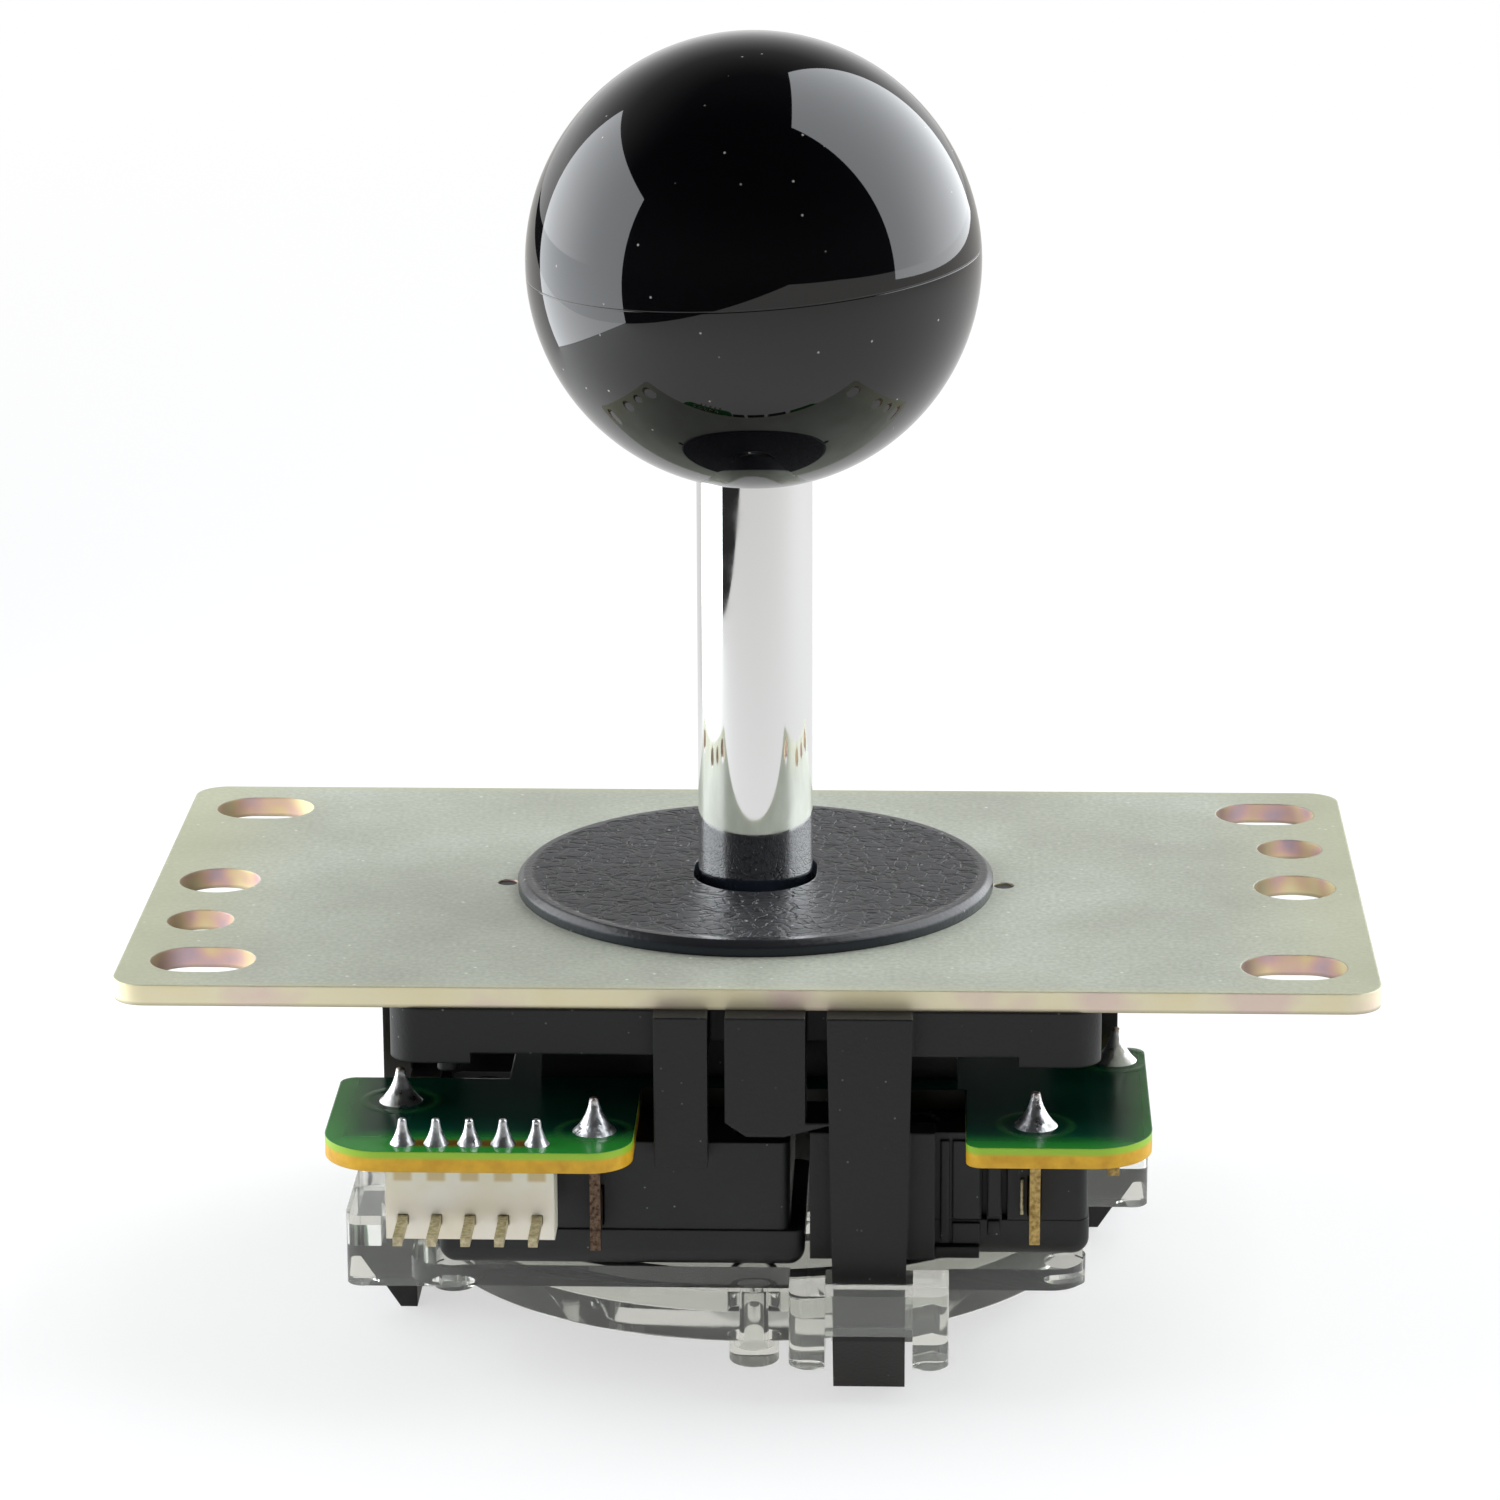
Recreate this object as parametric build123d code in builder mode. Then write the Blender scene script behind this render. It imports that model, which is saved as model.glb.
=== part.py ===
from build123d import *
from math import acos, atan, cos, radians, sin, sqrt, tan
import os

os.makedirs("parts", exist_ok=True)

# Arcade joystick lever, in millimetres.
# The origin is on the lever's axis at the top face of the mounting plate.
# X runs along the plate's length, -Y faces the front, +Z is up.
# The four switches, legs and board wings repeat about Z every quarter turn,
# and each is drawn at the front and then turned.
SIDES = {"front": 0, "right": 90, "back": 180, "left": 270}
QUARTERS = list(SIDES.values())

# Named clearances
FACE_GAP = 0.3  # between curved faces that move past each other
SLIDE_GAP = 0.1  # on each side of a sliding or plugged-in piece
SEAT_GAP = 0.02  # between a flat piece and the face that it slides on
THREAD_GAP = 0.05  # between a screw and its plain bore

# Lever travel
TILT = 8.0  # greatest tilt to each side, degrees
PIVOT_Z = -7.0  # height of the ball joint's centre

# Mounting plate
PLATE_LENGTH = 95.0
PLATE_WIDTH = 53.0
PLATE_THICKNESS = 1.6
PLATE_CORNER = 2.5
PLATE_BORE_GAP = 0.9  # round the housing's collar
SLOT_INSET_X = 6.25  # from the plate's ends to the slots' centres
SLOT_INSET_Y = 6.3
SLOT_LENGTH = 8.0
SLOT_WIDTH = 6.0
MID_HOLE_INSET = 5.0
MID_HOLE_R = 3.2
SMALL_HOLE_R = 2.6
SMALL_HOLE_INSET = 4.8
SMALL_HOLE_Y = 10.4
PEG_X = 19.6
PEG_R = 0.7

# Plate screws, countersunk
SCREW_R = 1.5
SCREW_HEAD_R = 2.75
SCREW_HEAD_HEIGHT = 1.25
SCREW_LENGTH = 8.0
SCREW_RECESS_WIDTH = 0.7
SCREW_RECESS_LENGTH = 3.0
SCREW_RECESS_DEPTH = 0.7

# Dust washer
WASHER_R = 18.75
WASHER_THICKNESS = 1.2
WASHER_RIM = 0.45

# Ball top
BALL_R = 17.5
BALL_Z = 50.0
BALL_FLAT_RIM = 0.7  # of the ball's flat, round the shaft
BALL_BORE_SPARE = 1.5  # past the stud's end

# Shaft
SHAFT_R = 4.5
STEM_R = 3.0  # lower stem, below the shoulder on the pivot
STUD_R = 2.95
STUD_LENGTH = 11.5
STEM_TAIL = 2.5  # below the retaining ring
SHAFT_CHAMFER = 0.5
DRIVE_SLOT_WIDTH = 1.0
DRIVE_SLOT_DEPTH = 1.2
RING_GROOVE_R = 2.2
RING_THICKNESS = 0.8
RING_R = 4.6
RING_PRONG_WIDTH = 2.2

# Pivot and its socket
PIVOT_R = 8.0
PIVOT_RISE = 4.0
PIVOT_DROP = 5.0
COLLAR_WALL = 1.4

# Spring and its seat
SPRING_SEAT_LAP = 0.3  # from the seat's bore to the wire's middle
SPRING_WIRE_R = 0.5
SPRING_TURNS = 4.5
SEAT_RIM = 0.6  # outside the lip
SEAT_THICKNESS = 1.2
SEAT_LIP = 0.7
SEAT_LIP_WALL = 0.8

# Actuator
ACTUATOR_R = 7.2
ACTUATOR_TOP_GAP = 1.8  # below the spring seat
ACTUATOR_FLOOR = 1.0
ACTUATOR_NECK_R = 6.0
ACTUATOR_NECK_LENGTH = 4.0
ACTUATOR_FLOOR_Z = -22.0
ACTUATOR_CHAMFER = 0.5

# Housing flange and core
FLANGE_LAP = 0.4  # of the flange over the side legs' inner faces
FLANGE_THICKNESS = 3.5
FLANGE_CORNER = 2.4
PAD_SIZE = 6.2
PAD_DROP = 0.8
CORE_MARGIN = 6.3  # from the collar to the core's faces
CORE_WALL = 2.0
BOSS_R = 3.4
BOSS_SINK = 0.4  # how far the screw bosses are let into the core's walls
RIB_WIDTH = 1.6

# Housing legs, fingers and tongues, measured at the front
LEG_OFFSET = 4.9  # from the switch's near end to the leg's middle
LEG_WIDTH = 6.4
LEG_TIP_WIDTH = 5.4
LEG_THICKNESS = 2.2
LEG_TIP_THICKNESS = 1.3
HOOK_REACH = 2.4
HOOK_HEIGHT = 5.5  # down to the leg's tip
HOOK_LAND = 0.5
BACKING_OFFSET = 0.2  # from the leg's middle
BACKING_WIDTH = 9.4
BACKING_DEPTH = 2.4
BACKING_GAP = 0.7  # between a backing block and the next switch's end
BACKING_TOP_Z = -11.3
BACKING_FRAME_GAP = 1.0  # above the gate's frame
FINGER_X = -4.7
FINGER_WIDTH = 4.0
FINGER_BOTTOM_Z = -13.4
TONGUE_X = 1.6
TONGUE_WIDTH = 6.0
TONGUE_DEPTH = 5.0
TONGUE_BOTTOM_Z = -10.9
TONGUE_CORNER = 1.6
TONGUE_STEP = 1.1
SLIT_DEPTH = 3.0
NUB_INSET_X = 4.3  # from the flange's side to the nub's middle
NUB_INSET_Y = 2.5
NUB_R = 0.8
NUB_HEIGHT = 1.2

# Circuit board
BOARD_TOP_Z = -10.6
BOARD_THICKNESS = 1.6
WING_EDGE_Y = 2.3  # from the common terminal to the wing's outer edge
WING_EDGE_X = 5.05  # from the open terminal to the wing's end
WING_ROOT = 2.95  # from the common terminal to the wing's root
WING_INNER = 16.6
WING_CORNER = 1.2
WING_END_CORNER = 4.5  # outer corner beside the open terminal
HEADER_WING_CORNER = 3.2
HEADER_WING_EDGE = 1.2  # from the header's front to the wing's outer edge
BOARD_CORE_HALF = 18.4

# Switches, measured at the front
SWITCH_LENGTH = 27.7
SWITCH_NEAR_X = 4.5  # end beside the plunger
SWITCH_SWING_GAP = 0.7  # between the switches and the actuator at full tilt
SWITCH_LEG_GAP = 0.28  # between the switches and the legs
SWITCH_HEIGHT = 10.1
SWITCH_WALL = 1.2
SWITCH_CORNER = 0.8
CASE_INSET_X = 1.1  # of the case from the cover's edge, at the plunger's end
CASE_INSET_Y = 0.12  # and at the outer face
COVER_MARGIN = 0.45  # below the plunger
COVER_ROUND = 1.5
SWITCH_HOLE_R = 1.65
SWITCH_HOLE_INSET_X = 2.75
SWITCH_HOLE_INSET_Y = 2.8
PLUNGER_WIDTH = 3.4
PLUNGER_HEIGHT = 3.0
PLUNGER_TIP_R = 1.2
SHOULDER_WIDTH = 4.0
SHOULDER_DEPTH = 1.0
BLADE_THICKNESS = 0.3
BLADE_LENGTH = 13.6
BLADE_WIDTH = 2.6
LATCH_INSET = 7.2
LATCH_WIDTH = 1.15
LATCH_DEPTH = 0.8
LATCH_RISE = 4.0
LATCH_GAP = 0.4

# Switch terminals, measured at the front
TERMINAL_THICKNESS = 0.8
TERMINAL_ROOT_HEIGHT = 3.0
PIN_DEPTH = 0.9
PIN_PROUD = 0.9
COMMON_OFFSET = 15.65  # from the switch's near end
COMMON_REACH = 2.2  # from the switch's outer face
OPEN_REACH = 3.05  # from the switch's far end
OPEN_OFFSET = 4.2  # from the switch's outer face
OPEN_LENGTH = 8.0
TERMINAL_BOTTOM_Z = -20.0

# Solder joints
SOLDER_R = 1.65
SOLDER_TIP_R = 0.32
SOLDER_HEIGHT = 2.65
SOLDER_WAIST = (0.88, 0.95)  # radius and height of a point on the hollow side
PIN_SOLDER_R = 0.95
PIN_SOLDER_TIP_R = 0.3
PIN_SOLDER_HEIGHT = 1.95
PIN_SOLDER_WAIST = (0.63, 0.55)
SOLDER_ROUND = 0.2

# Header
HEADER_WAYS = 5
HEADER_PITCH = 2.5
HEADER_INSET = 11.05  # from the wing's end to the header's middle
HEADER_END = 1.3  # past the outer pins
HEADER_HEIGHT = 5.7
HEADER_DEPTH = 3.2
HEADER_GAP = 2.8  # between the header and the switch behind it
HEADER_PIN = 0.7
HEADER_PIN_REACH = 4.7
HEADER_PIN_DROP = 4.15
HEADER_PIN_PROUD = 0.4

# Clear gate
FRAME_THICKNESS = 1.7
FRAME_INSET = 0.7  # from the legs' inner faces to the frame's edge
FRAME_CORNER = 2.5
FOOT_INSET_X = 3.4
FOOT_INSET_Y = 1.4
FOOT_R = 1.6
FOOT_LENGTH = 2.1
FRAME_BORE_R = 19.0
LOOP_WIDTH = 12.0
LOOP_GAP = 0.4
BAND_THICKNESS = 2.6
BAND_HEIGHT = 3.2
LOOP_HEIGHT = 5.8
LOOP_CORNER = 1.2
LUG_R = 1.25
LUG_LENGTH = 5.9
POST_LENGTH = 2.6
DISC_LEG_GAP = 0.52
DISC_HEIGHT = 4.0
DISC_WALL = 2.0
DISC_FLOOR = 1.8
GATE_WALL = 1.8
GATE_CORNER = 1.5
STOP_POST_X = 0.6
STOP_POST_INSET = 2.3
STOP_POST_R = 1.9
STOP_POST_BORE_R = 1.1
STOP_POST_DROP = 2.3

# Heights, places and fits worked out from the values above
# The square gate lets the lever tilt further along its diagonals
DIAGONAL_TILT = atan(sqrt(2) * tan(radians(TILT)))
PLATE_BOTTOM_Z = -PLATE_THICKNESS
SLOT_PITCH_X = PLATE_LENGTH - 2 * SLOT_INSET_X
SLOT_PITCH_Y = PLATE_WIDTH - 2 * SLOT_INSET_Y
MID_HOLE_X = PLATE_LENGTH / 2 - MID_HOLE_INSET
SMALL_HOLE_X = PLATE_LENGTH / 2 - SMALL_HOLE_INSET

BALL_FLAT_R = SHAFT_R + BALL_FLAT_RIM
BALL_FLAT_Z = BALL_Z - sqrt(BALL_R**2 - BALL_FLAT_R**2)
BALL_BORE_DEPTH = STUD_LENGTH + BALL_BORE_SPARE
SHOULDER_Z = PIVOT_Z + PIVOT_RISE
WASHER_BORE_R = SHAFT_R / cos(radians(TILT)) + FACE_GAP
WASHER_BORE_SPREAD = (WASHER_THICKNESS - PIVOT_Z) * tan(radians(TILT))

SOCKET_R = PIVOT_R + FACE_GAP
SOCKET_BOTTOM_Z = PIVOT_Z - PIVOT_R * cos(acos(PIVOT_DROP / PIVOT_R) - DIAGONAL_TILT) - FACE_GAP
COLLAR_R = SOCKET_R + COLLAR_WALL
PLATE_BORE_R = COLLAR_R + PLATE_BORE_GAP
CORE_HALF = COLLAR_R + CORE_MARGIN
SCREW_PITCH = 2 * (CORE_HALF - CORE_WALL - BOSS_R + BOSS_SINK)
SCREW_PLACES = [(x * SCREW_PITCH / 2, y * SCREW_PITCH / 2) for x in (-1, 1) for y in (-1, 1)]

SEAT_TOP_Z = SOCKET_BOTTOM_Z
SEAT_BOTTOM_Z = SEAT_TOP_Z - SEAT_THICKNESS
STEM_SWING_R = STEM_R / cos(DIAGONAL_TILT) + (PIVOT_Z - SEAT_BOTTOM_Z) * tan(DIAGONAL_TILT)
SEAT_BORE_R = STEM_SWING_R + SLIDE_GAP
SPRING_MEAN_R = SEAT_BORE_R + SPRING_SEAT_LAP
LIP_R = SPRING_MEAN_R + SPRING_WIRE_R + SLIDE_GAP
SEAT_R = LIP_R + SEAT_LIP_WALL + SEAT_RIM
SPRING_HEIGHT = SEAT_BOTTOM_Z - ACTUATOR_FLOOR_Z - 2 * SPRING_WIRE_R
ACTUATOR_CUP_R = SPRING_MEAN_R + SPRING_WIRE_R + FACE_GAP
ACTUATOR_TOP_Z = SEAT_BOTTOM_Z - ACTUATOR_TOP_GAP
ACTUATOR_SHOULDER_Z = ACTUATOR_FLOOR_Z - ACTUATOR_FLOOR
ACTUATOR_BOTTOM_Z = ACTUATOR_SHOULDER_Z - ACTUATOR_NECK_LENGTH
RING_TOP_Z = ACTUATOR_BOTTOM_Z - SEAT_GAP
SHAFT_END_Z = RING_TOP_Z - RING_THICKNESS - STEM_TAIL
GATE_HALF = (
    (PIVOT_Z - ACTUATOR_BOTTOM_Z) * sin(radians(TILT)) + ACTUATOR_NECK_R * cos(radians(TILT)) + FACE_GAP
)

FLANGE_BOTTOM_Z = PLATE_BOTTOM_Z - FLANGE_THICKNESS
BOARD_BOTTOM_Z = BOARD_TOP_Z - BOARD_THICKNESS
SWITCH_TOP_Z = BOARD_BOTTOM_Z - SLIDE_GAP
SWITCH_BOTTOM_Z = SWITCH_TOP_Z - SWITCH_HEIGHT
PLUNGER_Z = (SWITCH_TOP_Z + SWITCH_BOTTOM_Z) / 2
COVER_TOP_Z = PLUNGER_Z - PLUNGER_HEIGHT / 2 - COVER_MARGIN
COVER_HEIGHT = COVER_TOP_Z - SWITCH_BOTTOM_Z
TERMINAL_Z = PLUNGER_Z

# The legs stand past the far end of the next switch, and the switches fill the room inside them
SWITCH_END_X = SWITCH_NEAR_X - SWITCH_LENGTH
SWITCH_X = SWITCH_NEAR_X - SWITCH_LENGTH / 2
LEG_X = SWITCH_NEAR_X + LEG_OFFSET
LEG_INNER_Y = BACKING_DEPTH + BACKING_GAP - SWITCH_END_X
LEG_OUTER_Y = LEG_INNER_Y + LEG_THICKNESS
BACKING_X = LEG_X + BACKING_OFFSET
FLANGE_HALF = LEG_INNER_Y + FLANGE_LAP
ACTUATOR_SWING = (PIVOT_Z - ACTUATOR_SHOULDER_Z) * tan(radians(TILT)) + ACTUATOR_R / cos(radians(TILT))
SWITCH_INNER_Y = ACTUATOR_SWING + SWITCH_SWING_GAP
SWITCH_OUTER_Y = LEG_INNER_Y - SWITCH_LEG_GAP
SWITCH_DEPTH = SWITCH_OUTER_Y - SWITCH_INNER_Y
SWITCH_Y = (SWITCH_OUTER_Y + SWITCH_INNER_Y) / 2
CASE_NEAR_X = SWITCH_NEAR_X - CASE_INSET_X
CASE_OUTER_Y = SWITCH_OUTER_Y - CASE_INSET_Y
CASE_LENGTH = SWITCH_LENGTH - CASE_INSET_X
CASE_DEPTH = SWITCH_DEPTH - CASE_INSET_Y
CASE_PLACE = ((SWITCH_END_X + CASE_NEAR_X) / 2, -(SWITCH_INNER_Y + CASE_OUTER_Y) / 2)
SWITCH_HOLES = [
    (SWITCH_END_X + SWITCH_HOLE_INSET_X, -SWITCH_INNER_Y - SWITCH_HOLE_INSET_Y),
    (CASE_NEAR_X - SWITCH_HOLE_INSET_X, -CASE_OUTER_Y + SWITCH_HOLE_INSET_Y),
]
LATCH_Y = SWITCH_OUTER_Y - LATCH_INSET
PLUNGER_TIP_Y = ACTUATOR_R + FACE_GAP
PLUNGER_TRAVEL = (PIVOT_Z - PLUNGER_Z) * tan(radians(TILT)) + ACTUATOR_R / cos(radians(TILT)) - ACTUATOR_R
PLUNGER_LENGTH = SWITCH_INNER_Y + SWITCH_WALL + PLUNGER_TRAVEL + SLIDE_GAP - PLUNGER_TIP_Y
BLADE_Y = (
    PLUNGER_TIP_Y + PLUNGER_LENGTH + SHOULDER_DEPTH + PLUNGER_TRAVEL + FACE_GAP + BLADE_THICKNESS / 2
)
COMMON_X = SWITCH_NEAR_X - COMMON_OFFSET
COMMON_Y = SWITCH_OUTER_Y + COMMON_REACH
OPEN_X = SWITCH_END_X - OPEN_REACH
OPEN_Y = SWITCH_OUTER_Y - OPEN_OFFSET

WING_OUTER = COMMON_Y + WING_EDGE_Y
WING_END = WING_EDGE_X - OPEN_X
WING_ROOT_X = COMMON_X + WING_ROOT
HEADER_X = HEADER_INSET - WING_END
HEADER_LENGTH = HEADER_PITCH * (HEADER_WAYS - 1) + 2 * HEADER_END
HEADER_FRONT_Y = SWITCH_OUTER_Y + HEADER_GAP + HEADER_DEPTH
HEADER_WING_OUTER = HEADER_FRONT_Y + HEADER_WING_EDGE
PIN_PLACES = [HEADER_X + HEADER_PITCH * (i - (HEADER_WAYS - 1) / 2) for i in range(HEADER_WAYS)]
HEADER_PIN_Y = HEADER_FRONT_Y - HEADER_PIN - SLIDE_GAP
HEADER_PIN_Z = BOARD_BOTTOM_Z - HEADER_PIN_DROP

FRAME_TOP_Z = SWITCH_BOTTOM_Z
FRAME_HALF = LEG_INNER_Y - FRAME_INSET
FOOT_X = FOOT_INSET_X - FRAME_HALF
FOOT_Y = FRAME_HALF - FOOT_INSET_Y
LOOP_OUTER_Y = LEG_OUTER_Y + LOOP_GAP + BAND_THICKNESS
LUG_SPAN = LEG_WIDTH + 2 * SLIDE_GAP + 2 * LUG_R
LUG_BOTTOM_Z = FRAME_TOP_Z - LUG_LENGTH
BACKING_BOTTOM_Z = FRAME_TOP_Z + BACKING_FRAME_GAP
HOOK_TOP_Z = FRAME_TOP_Z - BAND_HEIGHT - SLIDE_GAP
LEG_TIP_Z = HOOK_TOP_Z - HOOK_HEIGHT
DISC_R = sqrt((LEG_X - LEG_WIDTH / 2) ** 2 + LEG_INNER_Y**2) - DISC_LEG_GAP
DISC_TOP_Z = FRAME_TOP_Z - FRAME_THICKNESS
DISC_BOTTOM_Z = DISC_TOP_Z - DISC_HEIGHT
STOP_POST_Y = DISC_R - STOP_POST_INSET


# Mounting plate: flat steel, with slots and holes near its ends
with BuildPart() as mounting_plate:
    with BuildSketch():
        RectangleRounded(PLATE_LENGTH, PLATE_WIDTH, PLATE_CORNER)
        Circle(PLATE_BORE_R, mode=Mode.SUBTRACT)
        with GridLocations(SLOT_PITCH_X, SLOT_PITCH_Y, 2, 2):
            SlotOverall(SLOT_LENGTH, SLOT_WIDTH, mode=Mode.SUBTRACT)
        with Locations((-MID_HOLE_X, 0), (MID_HOLE_X, 0)):
            Circle(MID_HOLE_R, mode=Mode.SUBTRACT)
        with Locations((-SMALL_HOLE_X, -SMALL_HOLE_Y), (SMALL_HOLE_X, SMALL_HOLE_Y)):
            Circle(SMALL_HOLE_R, mode=Mode.SUBTRACT)
        with Locations((-PEG_X, 0), (PEG_X, 0)):
            Circle(PEG_R + SLIDE_GAP, mode=Mode.SUBTRACT)
    extrude(amount=-PLATE_THICKNESS)
    with Locations(*SCREW_PLACES):
        CounterSinkHole(SCREW_R + SLIDE_GAP, SCREW_HEAD_R + SLIDE_GAP, depth=PLATE_THICKNESS)
mounting_plate.part.label = "mounting_plate"
export_step(mounting_plate.part, "parts/mounting_plate.step")

# Plate screws: countersunk heads just under the plate's top face
with BuildPart() as plate_screws:
    with Locations(*[(x, y, -SLIDE_GAP) for x, y in SCREW_PLACES]):
        Cylinder(SCREW_R, SCREW_LENGTH, align=(Align.CENTER, Align.CENTER, Align.MAX))
        Cone(SCREW_R, SCREW_HEAD_R, SCREW_HEAD_HEIGHT, align=(Align.CENTER, Align.CENTER, Align.MAX))
    with Locations(*[(x, y, -SLIDE_GAP) for x, y in SCREW_PLACES]):
        for turn in (0, 90):
            Box(
                SCREW_RECESS_LENGTH, SCREW_RECESS_WIDTH, 2 * SCREW_RECESS_DEPTH,
                rotation=(0, 0, turn), mode=Mode.SUBTRACT,
            )
plate_screws.part.label = "plate_screws"
export_step(plate_screws.part, "parts/plate_screws.step")

# Dust washer: a loose disc, its bore opened fore and aft for the shaft's swing
with BuildPart() as dust_washer:
    with BuildSketch(Plane.XY.offset(SEAT_GAP)):
        Circle(WASHER_R)
        SlotCenterToCenter(2 * WASHER_BORE_SPREAD, 2 * WASHER_BORE_R, rotation=90, mode=Mode.SUBTRACT)
    extrude(amount=WASHER_THICKNESS)
    chamfer(dust_washer.edges().group_by(Axis.Z)[-1].sort_by(SortBy.LENGTH)[-1], WASHER_RIM)
dust_washer.part.label = "dust_washer"
export_step(dust_washer.part, "parts/dust_washer.step")

# Ball top: a ball with a small flat on the shaft's shoulder and a blind bore for the stud
with BuildPart() as ball_top:
    with Locations((0, 0, BALL_Z)):
        Sphere(BALL_R)
    split(bisect_by=Plane.XY.offset(BALL_FLAT_Z), keep=Keep.TOP)
    with Locations((0, 0, BALL_FLAT_Z)):
        Cylinder(
            STUD_R + SLIDE_GAP, BALL_BORE_DEPTH,
            align=(Align.CENTER, Align.CENTER, Align.MIN), mode=Mode.SUBTRACT,
        )
ball_top.part.label = "ball_top"
export_step(ball_top.part, "parts/ball_top.step")

# Shaft: stud, thick upper rod, shoulder, thin stem with a ring groove and a screwdriver slot
with BuildPart() as shaft:
    with BuildSketch(Plane.XZ):
        with BuildLine():
            Polyline(
                (0, SHAFT_END_Z), (STEM_R - SHAFT_CHAMFER, SHAFT_END_Z),
                (STEM_R, SHAFT_END_Z + SHAFT_CHAMFER),
                (STEM_R, RING_TOP_Z - RING_THICKNESS - SEAT_GAP),
                (RING_GROOVE_R, RING_TOP_Z - RING_THICKNESS - SEAT_GAP),
                (RING_GROOVE_R, RING_TOP_Z + SEAT_GAP), (STEM_R, RING_TOP_Z + SEAT_GAP),
                (STEM_R, SHOULDER_Z), (SHAFT_R - SHAFT_CHAMFER, SHOULDER_Z),
                (SHAFT_R, SHOULDER_Z + SHAFT_CHAMFER), (SHAFT_R, BALL_FLAT_Z), (STUD_R, BALL_FLAT_Z),
                (STUD_R, BALL_FLAT_Z + STUD_LENGTH - SHAFT_CHAMFER),
                (STUD_R - SHAFT_CHAMFER, BALL_FLAT_Z + STUD_LENGTH), (0, BALL_FLAT_Z + STUD_LENGTH),
                close=True,
            )
        make_face()
    revolve(axis=Axis.Z)
    with Locations((0, 0, SHAFT_END_Z)):
        Box(2 * SHAFT_R, DRIVE_SLOT_WIDTH, 2 * DRIVE_SLOT_DEPTH, mode=Mode.SUBTRACT)
shaft.part.label = "shaft"
export_step(shaft.part, "parts/shaft.step")

# Retaining ring: an open clip in the stem's groove
with BuildPart() as retaining_ring:
    with BuildSketch(Plane.XY.offset(RING_TOP_Z)):
        Circle(RING_R)
        Circle(STEM_R + SLIDE_GAP, mode=Mode.SUBTRACT)
        with PolarLocations(0, 3, start_angle=-90):
            with Locations((RING_GROOVE_R + SLIDE_GAP, 0)):
                Rectangle(
                    (STEM_R + RING_R) / 2 - RING_GROOVE_R, RING_PRONG_WIDTH, align=(Align.MIN, Align.CENTER)
                )
        with Locations((0, RING_R)):
            Rectangle(2 * RING_GROOVE_R, 2 * (RING_R - RING_GROOVE_R), mode=Mode.SUBTRACT)
    extrude(amount=-RING_THICKNESS)
retaining_ring.part.label = "retaining_ring"
export_step(retaining_ring.part, "parts/retaining_ring.step")

# Pivot: a ball segment that turns in the housing's socket, under the shaft's shoulder
with BuildPart() as pivot:
    with Locations((0, 0, PIVOT_Z)):
        Sphere(PIVOT_R)
    split(bisect_by=Plane.XY.offset(SHOULDER_Z), keep=Keep.BOTTOM)
    split(bisect_by=Plane.XY.offset(PIVOT_Z - PIVOT_DROP), keep=Keep.TOP)
    with Locations((0, 0, PIVOT_Z)):
        Cylinder(STEM_R + SLIDE_GAP, 3 * PIVOT_R, mode=Mode.SUBTRACT)
pivot.part.label = "pivot"
export_step(pivot.part, "parts/pivot.step")

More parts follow.
